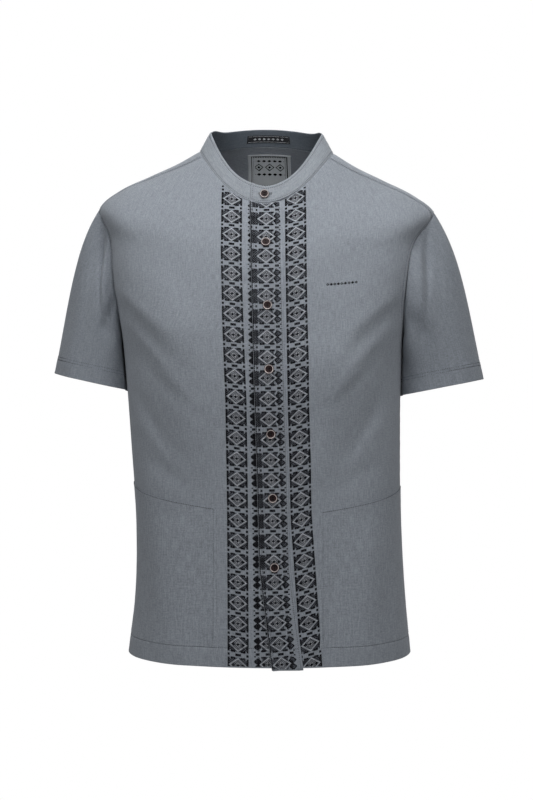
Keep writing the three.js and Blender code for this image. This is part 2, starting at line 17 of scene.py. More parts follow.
import bpy
import numpy as np
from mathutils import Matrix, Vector

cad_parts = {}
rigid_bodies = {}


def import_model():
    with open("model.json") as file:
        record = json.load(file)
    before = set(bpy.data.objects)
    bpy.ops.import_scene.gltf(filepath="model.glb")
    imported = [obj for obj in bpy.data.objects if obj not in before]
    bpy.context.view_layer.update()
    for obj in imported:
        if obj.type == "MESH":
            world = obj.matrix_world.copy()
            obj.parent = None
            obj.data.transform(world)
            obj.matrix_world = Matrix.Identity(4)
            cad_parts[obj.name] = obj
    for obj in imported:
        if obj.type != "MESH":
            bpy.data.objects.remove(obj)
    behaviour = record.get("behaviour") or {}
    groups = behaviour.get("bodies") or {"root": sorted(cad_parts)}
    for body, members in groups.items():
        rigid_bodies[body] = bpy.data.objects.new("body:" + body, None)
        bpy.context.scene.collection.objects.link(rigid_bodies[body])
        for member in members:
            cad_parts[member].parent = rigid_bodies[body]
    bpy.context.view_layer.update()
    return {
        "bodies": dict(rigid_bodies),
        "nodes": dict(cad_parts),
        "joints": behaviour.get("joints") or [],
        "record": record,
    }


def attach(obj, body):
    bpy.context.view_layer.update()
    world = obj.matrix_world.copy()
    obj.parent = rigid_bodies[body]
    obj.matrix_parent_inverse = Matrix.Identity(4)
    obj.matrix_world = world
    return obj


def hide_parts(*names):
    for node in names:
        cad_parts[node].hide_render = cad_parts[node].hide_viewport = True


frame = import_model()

MM = 0.001
BODY = "root"
Array = np.ndarray
join = np.concatenate
Pair = tuple[Array, Array]
Triple = tuple[float, float, float]
Colour = tuple[int, int, int]
Size = tuple[float, float]
Object = bpy.types.Object
Material = bpy.types.Material
Socket = bpy.types.NodeSocket
Surface = Callable[[Array, Array], Pair]
log = logging.getLogger("koko_shirt")


# ---- small helpers


def smooth(value: Array | float, low: float, high: float) -> Array:
    """Smooth step: 0 below low, 1 above high, and 3t^2 - 2t^3 between them."""
    t = np.clip((value - low) / (high - low), 0, 1)
    return t * t * (3 - 2 * t)


def bump(distance: Array, width: float) -> Array:
    """A soft bump: e to the power of minus the square of distance over width."""
    return np.exp(-((distance / width) ** 2))


def unit(vectors: Array) -> Array:
    """Each vector divided by its length."""
    return vectors / np.maximum(np.linalg.norm(vectors, axis=-1, keepdims=True), 1e-12)


def arc(points: Array) -> Array:
    """Length along the last but one axis of a list of points, from its first one."""
    gaps = np.linalg.norm(np.diff(points, axis=-2), axis=-1)
    return join([np.zeros(gaps.shape[:-1] + (1,)), np.cumsum(gaps, axis=-1)], axis=-1)


def marks(start: float, end: float, step: float, *fine: tuple[float, float]) -> Array:
    """Places from start to end about a step apart, with closer ones round each fine mark.

    Args:
        start: The first place.
        end: The last place.
        step: The usual distance between two places.
        fine: Pairs of a place and a reach; within the reach places are 0.6 mm apart at the mark.

    Returns:
        The sorted places.
    """
    base = np.linspace(start, end, max(2, int(round((end - start) / step)) + 1))
    extra = [place + reach * np.array([-1, -0.5, -0.22, 0, 0.22, 0.5, 1]) for place, reach in fine]
    places = join([base, *extra])
    places = np.unique(np.round(places[(places >= start) & (places <= end)], 3))
    keep = join([[True], np.diff(places) > 0.25])
    keep[-1] = True
    return places[keep]


def spans(*parts: tuple) -> Array:
    """Places of spans that meet end to end; each part holds what marks takes."""
    return join([marks(*part)[min(number, 1) :] for number, part in enumerate(parts)])


def read(values: Array, run: Array, where: Array) -> Array:
    """Each of three columns, known along a run, read at other places of it."""
    return np.stack([np.interp(where, run, values[:, k]) for k in range(3)], -1)


def waver(along: Array, scale: float, seed: float) -> Array:
    """An uneven wave between about -1 and 1: four sines whose lengths share no multiple."""
    t = along / scale
    return (
        np.sin(6.28 * t + seed)
        + 0.7 * np.sin(6.28 * 1.618 * t + 2.1 * seed)
        + 0.6 * np.sin(6.28 * 0.577 * t + 3.7 * seed)
        + 0.4 * np.sin(6.28 * 2.414 * t + 5.3 * seed)
    ) / 2.7


def new_object(
    name: str, vertices: Array, faces: Array, materials: Sequence[Material],
    uv: Array | None = None, slots: Array | None = None, flat: bool = False,
) -> Object:
    """A mesh object from whole arrays of millimetres.

    Args:
        name: The piece's name.
        vertices: n by 3 places in mm.
        faces: m by 4 or m by 3 vertex numbers, counter-clockwise seen from outside.
        materials: The piece's materials, in slot order.
        uv: n by 2 places in metres on the cloth, for its grain.
        slots: m material slots, or None for the first.
        flat: Whether the faces are shaded flat.

    Returns:
        The linked object.
    """
    mesh = bpy.data.meshes.new(name)
    count, sides = faces.shape
    mesh.vertices.add(len(vertices))
    mesh.vertices.foreach_set("co", (np.asarray(vertices, np.float64) * MM).astype(np.float32).ravel())
    mesh.loops.add(count * sides)
    mesh.loops.foreach_set("vertex_index", faces.astype(np.int32).ravel())
    mesh.polygons.add(count)
    mesh.polygons.foreach_set("loop_start", np.arange(0, count * sides, sides, dtype=np.int32))
    mesh.polygons.foreach_set("use_smooth", np.full(count, not flat))
    if slots is not None:
        mesh.polygons.foreach_set("material_index", slots.astype(np.int32))
    if uv is not None:
        layer = mesh.uv_layers.new(name="grain")
        layer.data.foreach_set("uv", uv[faces.ravel()].astype(np.float32).ravel())
    mesh.update()
    mesh.validate()
    for material in materials:
        mesh.materials.append(material)
    obj = bpy.data.objects.new(name, mesh)
    bpy.context.scene.collection.objects.link(obj)
    return obj


def grid_faces(rows: int, columns: int, wrap: bool = False) -> Array:
    """Quads of a grid whose rows run up and whose columns run round, facing out."""
    i, j = np.meshgrid(np.arange(rows - 1), np.arange(columns if wrap else columns - 1), indexing="ij")
    right = (j + 1) % columns
    quads = [i * columns + j, i * columns + right, (i + 1) * columns + right, (i + 1) * columns + j]
    return np.stack(quads, -1).reshape(-1, 4)


def border(rows: int, columns: int, wrap: bool) -> list[Array]:
    """The grid's edges as runs of vertex numbers, each with the cloth on its left."""
    index = np.arange(rows * columns).reshape(rows, columns)
    if wrap:
        return [np.append(index[0], index[0, 0]), np.append(index[-1], index[-1, 0])[::-1]]
    ring = join([index[0], index[1:-1, -1], index[-1][::-1], index[1:-1, 0][::-1], index[0, :1]])
    return [ring]


def shell(
    name: str, outer: Array, inner: Array, uv: Array, finishes: Sequence[Material], wrap: bool = False
) -> Object:
    """A thin closed piece of cloth: two grids joined round their edges by a rounded fold.

    The fold's middle line stands out past the edge by a third of the cloth's thickness.

    Args:
        name: The piece's name.
        outer: rows by columns by 3 places of the face that is seen.
        inner: The same for the other face.
        uv: rows by columns by 2 places on the cloth in mm.
        finishes: Materials of the outer face, the inner face.
        wrap: Whether the last column joins the first.

    Returns:
        The piece.
    """
    rows, columns = outer.shape[:2]
    size = rows * columns
    faces = grid_faces(rows, columns, wrap)
    vertices = [outer.reshape(-1, 3), inner.reshape(-1, 3)]
    quads = [faces, faces[:, ::-1] + size]
    slots = [np.zeros(len(faces)), np.full(len(faces), 1)]
    flat_uv = uv.reshape(-1, 2) * MM
    uvs = [flat_uv, flat_uv]
    start = 2 * size
    for run in border(rows, columns, wrap):
        loop = run[:-1]
        middle = (vertices[0][loop] + vertices[1][loop]) / 2
        along = np.roll(middle, -1, 0) - np.roll(middle, 1, 0)
        through = vertices[0][loop] - vertices[1][loop]
        away = unit(np.cross(along, through)) * np.linalg.norm(through, axis=1, keepdims=True) / 3
        vertices.append(middle + away)
        uvs.append(flat_uv[loop])
        fold = start + np.arange(len(loop))
        following = np.roll(np.arange(len(loop)), -1)
        quads.append(np.stack([fold, fold[following], loop[following], loop], -1))
        quads.append(np.stack([loop + size, loop[following] + size, fold[following], fold], -1))
        slots.append(np.zeros(2 * len(loop)))
        start += len(loop)
    vertices, quads, uvs, slots = map(join, (vertices, quads, uvs, slots))
    return new_object(name, vertices, quads, finishes, uvs, slots)


def tube_normals(points: Array) -> Array:
    """Normals of a grid that closes round: the cross product of its row and column directions."""
    across = np.roll(points, -1, 1) - np.roll(points, 1, 1)
    return unit(np.cross(across, np.gradient(points, axis=0)))


# ---- the cloth's map


class Side(Enum):
    """The wearer's two sides."""

    RIGHT = -1
    LEFT = 1

    @property
    def word(self) -> str:
        """The side in lower case, as in the names of pieces."""
        return self.name.lower()


class Face(Enum):
    """Which half of the body a fold lies on."""

    FRONT = 0
    BACK = 1


@dataclass(frozen=True)
class Folds:
    """Soft folds of a flat field: each row is fromX, fromY, toX, toY, width, height."""

    rows: Array

    def height(self, x: Array, y: Array, tapered: bool = False) -> Array:
        """Sum of the folds, each a soft bump across its line; tapered ones fade to both ends."""
        total = np.zeros(np.broadcast(x, y).shape)
        for x0, y0, x1, y1, width, height in self.rows:
            run, lift = x1 - x0, y1 - y0
            share = ((x - x0) * run + (y - y0) * lift) / (run**2 + lift**2)
            held = np.clip(share, 0, 1)
            away = np.hypot(x - x0 - held * run, y - y0 - held * lift)
            fade = np.sqrt(np.sin(np.pi * np.clip(held, 0.02, 0.98))) if tapered else 1
            total = total + height * fade * bump(away, width)
        return total


RINGS = np.array(  # rise, front z, side z, back z, half width, front depth, back depth, shift, square, tilt
    [
        [0, -709, -706, -705, 199, 136.5, 119, 4, 0.03, 0], [73, -635, -633, -633, 191, 132, 116, 5, 0.03, 0],
        [180, -526, -526, -526, 187, 128.5, 109, 3, 0.03, 0],
        [285, -421, -421, -421, 190, 133.5, 108, -1, 0.03, 0],
        [378, -331, -328, -324, 194, 143.5, 114, -4, 0.03, 0],
        [444, -268, -262, -254, 199, 142, 121, -5, 0.03, 1],
        [521, -205, -180, -170, 211, 136.5, 124, -4, 0.03, 3],
        [576, -169, -126, -116, 221, 129, 121, -2, 0.025, 4],
        [625, -140, -82, -72, 236, 119, 114, 0, 0.015, 5], [659, -122, -59, -43, 208, 110, 106, 0, 0.01, 5],
        [699, -107, -38, -16, 165, 101, 94, 0, 0, 4], [742, -93, -19, 4, 125, 92, 79, 0, 0, 3],
        [776, -83, -1, 18, 95, 83, 66, 0, 0, 2],
    ],
    float,
)
FRONT_FOLDS = np.array(  # from x, from z, to x, to z, width, height
    [
        [-205, -178, -104, -262, 46, 7], [-104, -262, -86, -400, 34, 3.5], [192, -182, 110, -300, 44, 7],
        [110, -300, 80, -430, 32, 3.5], [-170, -300, -136, -420, 34, -4], [172, -320, 120, -430, 32, -4],
        [-118, -540, -126, -706, 26, 3], [128, -550, 134, -706, 26, 3],
    ]
)
BACK_FOLDS = np.array(  # the same columns
    [
        [-150, -190, -70, -400, 34, -4], [150, -190, 74, -390, 34, -4], [-60, -470, -84, -706, 34, 4],
        [66, -490, 92, -706, 34, 4],
    ]
)


def both_sides(*rows: Sequence[float]) -> Array:
    """Folds of one side, and their mirror image moved a little."""
    return join([rows, np.array(rows) * [-0.97, 1.02, -0.98, 1.01, 1.03, 0.95]])


FRONT_CREASES = both_sides(  # the same columns
    [-196, -196, -120, -262, 8.5, 2.2], [-192, -214, -112, -300, 10.4, -2.3],
    [-126, -150, -100, -214, 15, -1.3], [-186, -238, -104, -330, 7.6, 1.6],
    [-182, -270, -96, -362, 11.4, -1.7], [-170, -560, -168, -690, 11, -1.7],
    [-150, -300, -84, -352, 6.6, 1.5], [-180, -330, -128, -420, 9.5, -1.9],
    [-66, -590, -64, -706, 9.5, 1.3], [-174, -372, -120, -446, 8.5, 1.6],
    [-168, -430, -96, -470, 11.4, -1.6], [-96, -560, -90, -700, 11.4, -1.9],
    [-92, -300, -70, -420, 13.3, -1.5], [-148, -500, -140, -640, 12.3, 2],
)
BACK_CREASES = both_sides(  # the same columns
    [-176, -168, -110, -262, 9.5, 2.3], [-168, -206, -92, -320, 11.4, -2.5],
    [-172, -570, -168, -690, 10, 1.7], [-180, -250, -116, -352, 8.5, 1.7],
    [-166, -310, -92, -430, 11.4, -2.2], [-28, -520, -30, -704, 12, 2.3], [-40, -150, -34, -330, 17, 2],
    [-22, -210, -16, -420, 13.3, -1.9], [-130, -520, -124, -704, 13.3, -2.5],
    [-150, -440, -110, -520, 10.4, 1.9],
)


@dataclass
class Cloth:
    """The shirt's body as one map, with the sizes that its pieces share."""

    length: float = 706
    hem: float = 25
    vent: float = 73
    vent_open: float = 2.2
    underarm: float = 444
    tip: float = 625
    back_seam: float = 606
    neck: float = 776
    front_seam: float = 610
    front_seam_turn: float = 68
    armhole_rows: Size = (1.6, 10.0)
    vent_row: float = 6.0
    cut: dict[tuple[Side, Face], float] = field(
        default_factory=lambda: {
            (Side.RIGHT, Face.FRONT): 17.0, (Side.LEFT, Face.FRONT): 26.0,
            (Side.RIGHT, Face.BACK): 20.0, (Side.LEFT, Face.BACK): 20.0,
        }
    )
    rings: Array = field(default_factory=lambda: RINGS)
    folds: tuple[Folds, Folds] = (Folds(FRONT_FOLDS), Folds(BACK_FOLDS))
    creases: tuple[Folds, Folds] = (Folds(FRONT_CREASES), Folds(BACK_CREASES))

    def ring(self, rise: Array) -> list[Array]:
        """The ring at any rise, by cubic spans between the table's rows.

        Args:
            rise: Millimetres up the cloth from the hem.

        Returns:
            Its nine columns after the rise.
        """
        knots, values = self.rings[:, 0], self.rings[:, 1:]
        gaps = np.diff(knots)
        secants = np.diff(values, axis=0) / gaps[:, None]
        shared = secants[:-1] * gaps[1:, None] + secants[1:] * gaps[:-1, None]
        inner = shared / (gaps[1:] + gaps[:-1])[:, None]
        slopes = join([secants[:1], inner, secants[-1:]])
        rise = np.asarray(rise, float)
        k = np.clip(np.searchsorted(knots, rise, side="right") - 1, 0, len(knots) - 2)
        span = gaps[k]
        t = (rise - knots[k]) / span
        bend = t * t * (3 - 2 * t)
        leave = t * (1 - t) ** 2 * span
        arrive = t * t * (t - 1) * span
        found = (
            values[k]
            + (values[k + 1] - values[k]) * bend[..., None]
            + slopes[k] * leave[..., None]
            + slopes[k + 1] * arrive[..., None]
        )
        return list(np.moveaxis(found, -1, 0))

    def place(self, turn: Array, rise: Array) -> Array:
        """Points of the map: a squared ellipse for each rise, with folds pushed out from it.

        Args:
            turn: Degrees from the centre front towards the wearer's left.
            rise: Millimetres up the cloth from the hem.

        Returns:
            Places in mm.
        """
        turn, rise = np.broadcast_arrays(turn, rise)
        front_z, side_z, back_z, width, front, back, shift, square, tilt = self.ring(rise)
        angle = np.radians(turn)
        sin, cos = np.sin(angle), np.cos(angle)
        across = (sin + square * np.sin(3 * angle)) / (1 - square)
        deep = (cos - square * np.cos(3 * angle)) / (1 - square)
        ahead = cos > 0
        depth = np.where(ahead, front, back)
        end_z = np.where(ahead, front_z, back_z)
        x, y = width * across, -depth * deep
        z = side_z + (end_z - side_z) * cos**2 - tilt * sin
        out = unit(np.stack([across / width, -deep / depth, np.zeros_like(x)], -1))
        broad = np.where(ahead, *(folds.height(x, z) for folds in self.folds))
        fine = np.where(ahead, *(creases.height(x, z, True) for creases in self.creases))
        swell = 0.5 * waver(x + 0.6 * z, 190, 1.3) * smooth(np.abs(z + 420), 20, 240)
        push = broad * smooth(np.abs(cos), 0, 0.45) + (fine + swell) * smooth(np.abs(cos), 0, 0.25)
        return np.stack([x + shift, y, z], -1) + out * push[..., None]

    def normal(self, turn: Array, rise: Array) -> Array:
        """Outward normals, from the map's own differences."""
        around = self.place(np.add(turn, 0.2), rise) - self.place(np.subtract(turn, 0.2), rise)
        up = self.place(turn, np.add(rise, 0.5)) - self.place(turn, np.subtract(rise, 0.5))
        return unit(np.cross(around, up))

    def on(self, turn: Array, rise: Array, out: Array | float = 0.0) -> Pair:
        """Points of the map moved out along its normals, and the normals."""
        normal = self.normal(turn, rise)
        return self.place(turn, rise) + normal * np.asarray(out, float)[..., None], normal

    def turn_at(self, x: Array, rise: Array) -> Array:
        """The turn at which the front has a given x, near the centre front."""
        _, _, _, width, _, _, shift, square, _ = self.ring(rise)
        return np.degrees(np.arcsin((x - shift) / width * (1 - square) / (1 + 3 * square)))

    def level(self, x: Array, rise: Array) -> Array:
        """z of the front at a given x and rise."""
        front_z, side_z, _, _, _, _, _, _, tilt = self.ring(rise)
        angle = np.radians(self.turn_at(x, rise))
        return side_z + (front_z - side_z) * np.cos(angle) ** 2 - tilt * np.sin(angle)

    def rise_at(self, x: Array, z: Array) -> Array:
        """The rise at which the front has a given x and z, by six Newton steps."""
        rise = np.interp(z, self.rings[:, 1], self.rings[:, 0]) + 0 * x
        for _ in range(6):
            slope = self.level(x, rise + 0.5) - self.level(x, rise - 0.5)
            rise = np.clip(rise + (z - self.level(x, rise)) / slope, -20, self.neck + 40)
        return rise

    @property
    def armhole_middle(self) -> float:
        """The rise of the armhole's middle."""
        return (self.underarm + self.tip) / 2

    @property
    def armhole_reach(self) -> float:
        """Half of the armhole's height along the cloth."""
        return (self.tip - self.underarm) / 2

    def armhole_half(self, rise: Array, side: Side, face: Face) -> Array:
        """How far the armhole cuts in at a rise, in degrees: half an ellipse."""
        share = (rise - self.armhole_middle) / self.armhole_reach
        return self.cut[side, face] * np.sqrt(np.clip(1 - share**2, 0, None))

    def front_edge(self, rise: Array, side: Side) -> Array:
        """The turn of a front's outer edge: vent, side seam, armhole and the yoke's front seam."""
        low = 90 - self.vent_open * np.clip(1 - rise / self.vent, 0, None)
        hole = 90 - self.armhole_half(np.minimum(rise, self.front_seam), side, Face.FRONT)
        share = (rise - self.front_seam) / (self.neck - self.front_seam)
        top = hole + (self.front_seam_turn - hole) * np.clip(share, 0, 1)
        return np.where(rise <= self.underarm, low, np.where(rise <= self.front_seam, hole, top))

    def back_edge(self, rise: Array, side: Side) -> Array:
        """The turn of the back's edge: vent, side seam and armhole."""
        low = 90 + self.vent_open * np.clip(1 - rise / self.vent, 0, None)
        return np.where(rise <= self.underarm, low, 90 + self.armhole_half(rise, side, Face.BACK))

    def loop(self, psi: Array, side: Side) -> Pair:
        """Turn and rise once round an armhole: psi is 0 at the tip and runs over the front."""
        sine = np.sin(psi)
        cut = np.where(sine > 0, self.cut[side, Face.FRONT], self.cut[side, Face.BACK])
        return side.value * (90 - cut * sine), self.armhole_middle + self.armhole_reach * np.cos(psi)


CLOTH = Cloth()


# ---- finishes


class Nodes:
    """A short way to build a material's nodes and links."""

    def __init__(self, name: str) -> None:
        """Starts an empty material with its surface shader."""
        self.material = bpy.data.materials.new(name)
        self.material.use_nodes = True
        self.tree = self.material.node_tree
        self.tree.nodes.clear()
        output = self.tree.nodes.new("ShaderNodeOutputMaterial")
        self.shader = self.tree.nodes.new("ShaderNodeBsdfPrincipled")
        self.tree.links.new(self.shader.outputs["BSDF"], output.inputs["Surface"])

    def add(self, kind: str, **settings: object) -> bpy.types.Node:
        """A node of that kind; settings are its own properties."""
        node = self.tree.nodes.new("ShaderNode" + kind)
        for key, value in settings.items():
            setattr(node, key, value)
        return node

    def feed(self, node: bpy.types.Node, **inputs: object) -> bpy.types.Node:
        """Sets or links inputs by name, with _ for a space; a socket is linked, a value is set."""
        for key, value in inputs.items():
            socket = node.inputs[int(key[1:])] if key[1:].isdigit() else node.inputs[key.replace("_", " ")]
            if isinstance(value, Socket):
                self.tree.links.new(value, socket)
            else:
                socket.default_value = value
        return node

    def coordinates(self, scale: Triple, uv: bool = True) -> Socket:
        """The grain's UV or the Object coordinates, times a scale."""
        source = self.add("TexCoord").outputs["UV" if uv else "Object"]
        return self.feed(self.add("Mapping"), Vector=source, Scale=scale).outputs[0]

    def noise(self, scale: Triple, detail: float, uv: bool = True) -> Socket:
        """Noise stretched by the inverse of scale, from 0 to 1."""
        node = self.add("TexNoise", noise_dimensions="3D")
        self.feed(node, Vector=self.coordinates(scale, uv), Scale=1.0, Detail=detail, Roughness=0.6)
        return node.outputs["Fac"]

    def spread(self, value: Socket, low: float, high: float, to: tuple[float, float]) -> Socket:
        """Maps low..high to a new range, clamped."""
        node = self.add("MapRange", clamp=True)
        self.feed(node, Value=value, From_Min=low, From_Max=high, To_Min=to[0], To_Max=to[1])
        return node.outputs[0]

    def math(self, operation: str, a: object, b: object) -> Socket:
        """One arithmetic step of two values."""
        return self.feed(self.add("Math", operation=operation), _0=a, _1=b).outputs[0]

    def total(self, *parts: tuple[Socket, float]) -> Socket:
        """The sum of values, each times its weight."""
        first, *rest = (self.math("MULTIPLY", value, weight) for value, weight in parts)
        for value in rest:
            first = self.math("ADD", first, value)
        return first

    def waves(self, direction: str, vector: Socket, **inputs: float) -> Socket:
        """Even bands across a direction, from 0 to 1."""
        node = self.add("TexWave", wave_type="BANDS", bands_direction=direction)
        return self.feed(node, Vector=vector, **inputs).outputs["Fac"]

    def tint(self, factor: Socket, dark: Sequence[float], light: Sequence[float]) -> Socket:
        """A colour between two others."""
        node = self.add("Mix", data_type="RGBA")
        self.tree.links.new(factor, node.inputs["Factor"])
        node.inputs[6].default_value = (*dark, 1)
        node.inputs[7].default_value = (*light, 1)
        return node.outputs[2]

    def relief(self, height: Socket, distance: float, strength: float) -> None:
        """Bump from a height, under the whole surface."""
        node = self.feed(self.add("Bump"), Height=height, Distance=distance, Strength=strength)
        self.tree.links.new(node.outputs[0], self.shader.inputs["Normal"])

    def surface(self, **inputs: object) -> Material:
        """Sets the surface shader's sockets and gives the material."""
        self.feed(self.shader, **inputs)
        return self.material


def linear(red: int, green: int, blue: int) -> Triple:
    """A display colour from 0 to 255 as linear light."""
    share = np.array([red, green, blue]) / 255
    return tuple(np.where(share <= 0.04045, share / 12.92, ((share + 0.055) / 1.055) ** 2.4).tolist())


@dataclass(frozen=True)
class Chambray:
    """Heathered plain weave: slubs run along the warp, and a fine weave shows from near."""

    name: str
    colour: Colour
    contrast: float = 0.2
    sheen: float = 0.25

    def material(self) -> Material:
        """Streaks of three sizes along the warp, thin weft bars, and the weave's bump."""
        nodes = Nodes(self.name)
        long, short = nodes.noise((800, 60, 1), 2), nodes.noise((1100, 420, 1), 1)
        weft, broad = nodes.noise((150, 800, 1), 1), nodes.noise((26, 9, 1), 2)
        mixed = nodes.total((long, 0.4), (short, 0.34), (weft, 0.26), (broad, 0.05))
        base = np.array(linear(*self.colour))
        dark, light = base * (1 - self.contrast), base * (1 + self.contrast)
        place = nodes.coordinates((1, 1, 1))
        threads = [
            nodes.waves(way, place, Scale=scale, Distortion=0.6, Detail=1.0)
            for way, scale in (("X", 430.0), ("Y", 400.0))
        ]
        nodes.relief(nodes.total((nodes.math("ADD", *threads), 0.35), (mixed, 1.2)), 0.0004, 0.5)
        return nodes.surface(
            Base_Color=nodes.tint(nodes.spread(mixed, 0.42, 0.62, (0, 1)), dark, light),
            Sheen_Tint=(0.9, 0.94, 1, 1),
            Roughness=nodes.spread(mixed, 0.4, 0.65, (0.92, 0.8)),
            Sheen_Weight=self.sheen,
            Sheen_Roughness=0.45,
            Specular_IOR_Level=0.3,
        )


@dataclass(frozen=True)
class Thread:
    """Twisted thread, with darker and lighter lengths and a fine ribbed bump."""

    name: str
    colour: Colour
    shine: float = 0.55

    def material(self) -> Material:
        """Noise in the colour, and waves across for the twist."""
        nodes = Nodes(self.name)
        noise = nodes.noise((420, 420, 420), 2, uv=False)
        base = np.array(linear(*self.colour))
        place = nodes.coordinates((1, 1, 1), uv=False)
        nodes.relief(nodes.waves("DIAGONAL", place, Scale=700.0, Distortion=1.0), 0.0002, 0.5)
        return nodes.surface(
            Base_Color=nodes.tint(nodes.spread(noise, 0.35, 0.65, (0, 1)), base * 0.75, base * 1.3),
            Roughness=self.shine,
            Sheen_Weight=0.15,
            Specular_IOR_Level=0.35,
        )


@dataclass(frozen=True)
class Hatched:
    """Filling thread in two tones, which change along slanting lines across the band."""

    name: str
    dark: Colour
    light: Colour
    period: float = 2.0
    share: float = 0.62

    def material(self) -> Material:
        """Slanting waves on the band's own places, uneven by noise, and the twist's bump."""
        nodes = Nodes(self.name)
        slanted = nodes.feed(nodes.add("Mapping"), Vector=nodes.coordinates((1, 1, 1)), Rotation=(0, 0, 0.86))
        lines = nodes.waves("X", slanted.outputs[0], Scale=314.16 / self.period, Distortion=0.0)
        noise = nodes.noise((300, 300, 300), 2, uv=False)
        mixed = nodes.total((lines, 1.0), (noise, 0.4))
        factor = nodes.spread(mixed, self.share + 0.05, self.share + 0.35, (0, 1))
        nodes.relief(noise, 0.0002, 0.4)
        return nodes.surface(
            Base_Color=nodes.tint(factor, linear(*self.dark), linear(*self.light)),
            Roughness=0.75,
            Specular_IOR_Level=0.15,
        )


@dataclass(frozen=True)
class Resin:
    """Polished button resin with a cloudy depth."""

    name: str
    dark: Colour
    light: Colour
    roughness: float = 0.24

    def material(self) -> Material:
        """Cloudy swirls between two colours, finely scratched."""
        nodes = Nodes(self.name)
        cloud = nodes.noise((240, 240, 240), 3, uv=False)
        scratch = nodes.noise((2600, 500, 900), 2, uv=False)
        nodes.relief(scratch, 0.0001, 0.25)
        return nodes.surface(
            Base_Color=nodes.tint(
                nodes.spread(cloud, 0.38, 0.62, (0, 1)), linear(*self.dark), linear(*self.light)
            ),
            Roughness=nodes.spread(scratch, 0.35, 0.7, (self.roughness, self.roughness + 0.16)),
            Specular_IOR_Level=0.3,
            Coat_Weight=0.12,
            Coat_Roughness=0.3,
        )


class Finish(Enum):
    """Every finish of the shirt, made once and then shared."""

    BODY = Chambray("body_chambray", (143, 149, 157))
    # The sleeves take a darker copy of the body's chambray: painted shade of sleeves that face sideways and
    # down.
    SLEEVE = Chambray("shaded_sleeve_chambray", (134, 140, 148))
    COLLAR = Chambray("collar_chambray", (150, 156, 163), 0.15)
    # Inner faces take a darker copy of the body's chambray: painted shade for the insides of collar, placket
    # and pockets.
    INNER = Chambray("shaded_inner_chambray", (84, 91, 99), 0.15, 0.1)
    LABEL = Chambray("label_satin", (196, 201, 205), 0.05, 0.3)
    LABEL_DARK = Chambray("dark_label_satin", (30, 31, 35), 0.1, 0.2)
    SEWING = Thread("sewing_thread", (52, 56, 64))
    MATCHED = Thread("matched_thread", (112, 118, 126))
    DARK = Hatched("dark_embroidery", (8, 7, 12), (26, 24, 33), 2.4, 0.85)
    HATCH = Hatched("hatch_embroidery", (28, 27, 36), (124, 129, 138), 1.9, 0.66)
    LIGHT = Thread("light_embroidery", (204, 208, 213), 0.5)
    BUTTON = Resin("button_centre", (20, 11, 12), (50, 27, 27), 0.5)
    RIM = Resin("button_rim", (172, 162, 160), (220, 210, 207), 0.4)

    @property
    def material(self) -> Material:
        """The finish's material."""
        return bpy.data.materials.get(self.value.name) or self.value.material()


# ---- pieces


def dress(piece: Object, *nodes: str, slot: str = "body_cloth") -> Object:
    """Rides a piece on the shirt and hides the nodes that it stands for."""
    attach(piece, BODY)
    if nodes:
        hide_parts(*nodes)
    log.info("%s: %d faces", piece.name, len(piece.data.polygons))
    return piece


def declare(outer: Array) -> None:
    """Works out a cloth piece's own width and length along the cloth, and keeps neither."""
    across = arc(outer)[:, -1]
    up = arc(np.swapaxes(outer, 0, 1))[:, -1]


@dataclass
class Panel:
    """A patch of the body's map with its seams, hem and grain."""

    name: str
    cloth: Cloth
    turn: Array
    rise: Array
    wall: float = 1.2

    def build(self, relief: Array, centre: Array) -> tuple[Object, Array]:
        """Makes the shell.

        Args:
            relief: How far each place of the outer face stands out in mm.
            centre: The grain's place at the row's first column in mm.

        Returns:
            The piece and its outer points.
        """
        middle = self.cloth.place(self.turn, self.rise)
        outer, _ = self.cloth.on(self.turn, self.rise, relief)
        inner, _ = self.cloth.on(self.turn, self.rise, np.minimum(relief, 0) - self.wall)
        uv = np.stack([arc(middle) + centre[:, None], np.broadcast_to(self.rise, self.turn.shape)], -1)
        piece = shell(self.name, outer, inner, uv, [Finish.BODY.material] * 2)
        dress(piece, self.name)
        return piece, outer


def seam_relief(
    distance: Array, rows: Sequence[float], along: Array, lift: float = 0.35, press: float = 0.5
) -> Array:
    """Relief beside a seam: pressed in at the edge, raised up to its last row of stitches.

    Each row of stitches pulls a furrow 0.4 mm deep, and between its stitches the cloth puckers.

    Args:
        distance: Millimetres from the seam.
        rows: Distances of the stitched rows.
        along: Millimetres along the seam, for the puckers.
        lift: How far the doubled cloth stands up.
        press: How far its edge is pressed in.

    Returns:
        Millimetres out.
    """
    last = rows[-1] if rows else 3.0
    doubled = lift * (1 - smooth(distance, last - 0.4, last + 1.4)) - (lift + press) * bump(distance, 0.9)
    furrows = sum(-0.4 * bump(distance - row, 0.8) for row in rows)
    pucker = 0.22 * waver(along, 17, 0.7) * bump(distance - last - 1.5, 5) * smooth(distance, 0.5, 3)
    return doubled + furrows + pucker


def pressed(distance: Array) -> Array:
    """How far cloth is pressed in at a distance from a seam: 0.6 mm at the seam."""
    return 0.6 * bump(distance, 1.2)


def side_relief(cloth: Cloth, rise: Array, distance: Array, top: Array | float = 0.0) -> Array:
    """Relief beside a panel's outer edge: stitched vent, plain side seam, stitched armhole.

    Args:
        cloth: The body's map.
        rise: Rises of the places.
        distance: Millimetres in from the outer edge.
        top: The share that the yoke's front seam has at each place.

    Returns:
        Millimetres out.
    """
    hole = smooth(rise, cloth.underarm - 2, cloth.underarm + 12) * (1 - top)
    vent = 1 - smooth(rise, cloth.vent - 3, cloth.vent + 3)
    return (
        hole * seam_relief(distance, cloth.armhole_rows, rise, 0.45, 0.1)
        + top * seam_relief(distance, [], rise, 0.0, 0.7)
        + np.clip(1 - hole - top - vent, 0, 1) * seam_relief(distance, [], rise, 0.0)
        + vent * seam_relief(distance, [cloth.vent_row], rise, 0.3)
    )


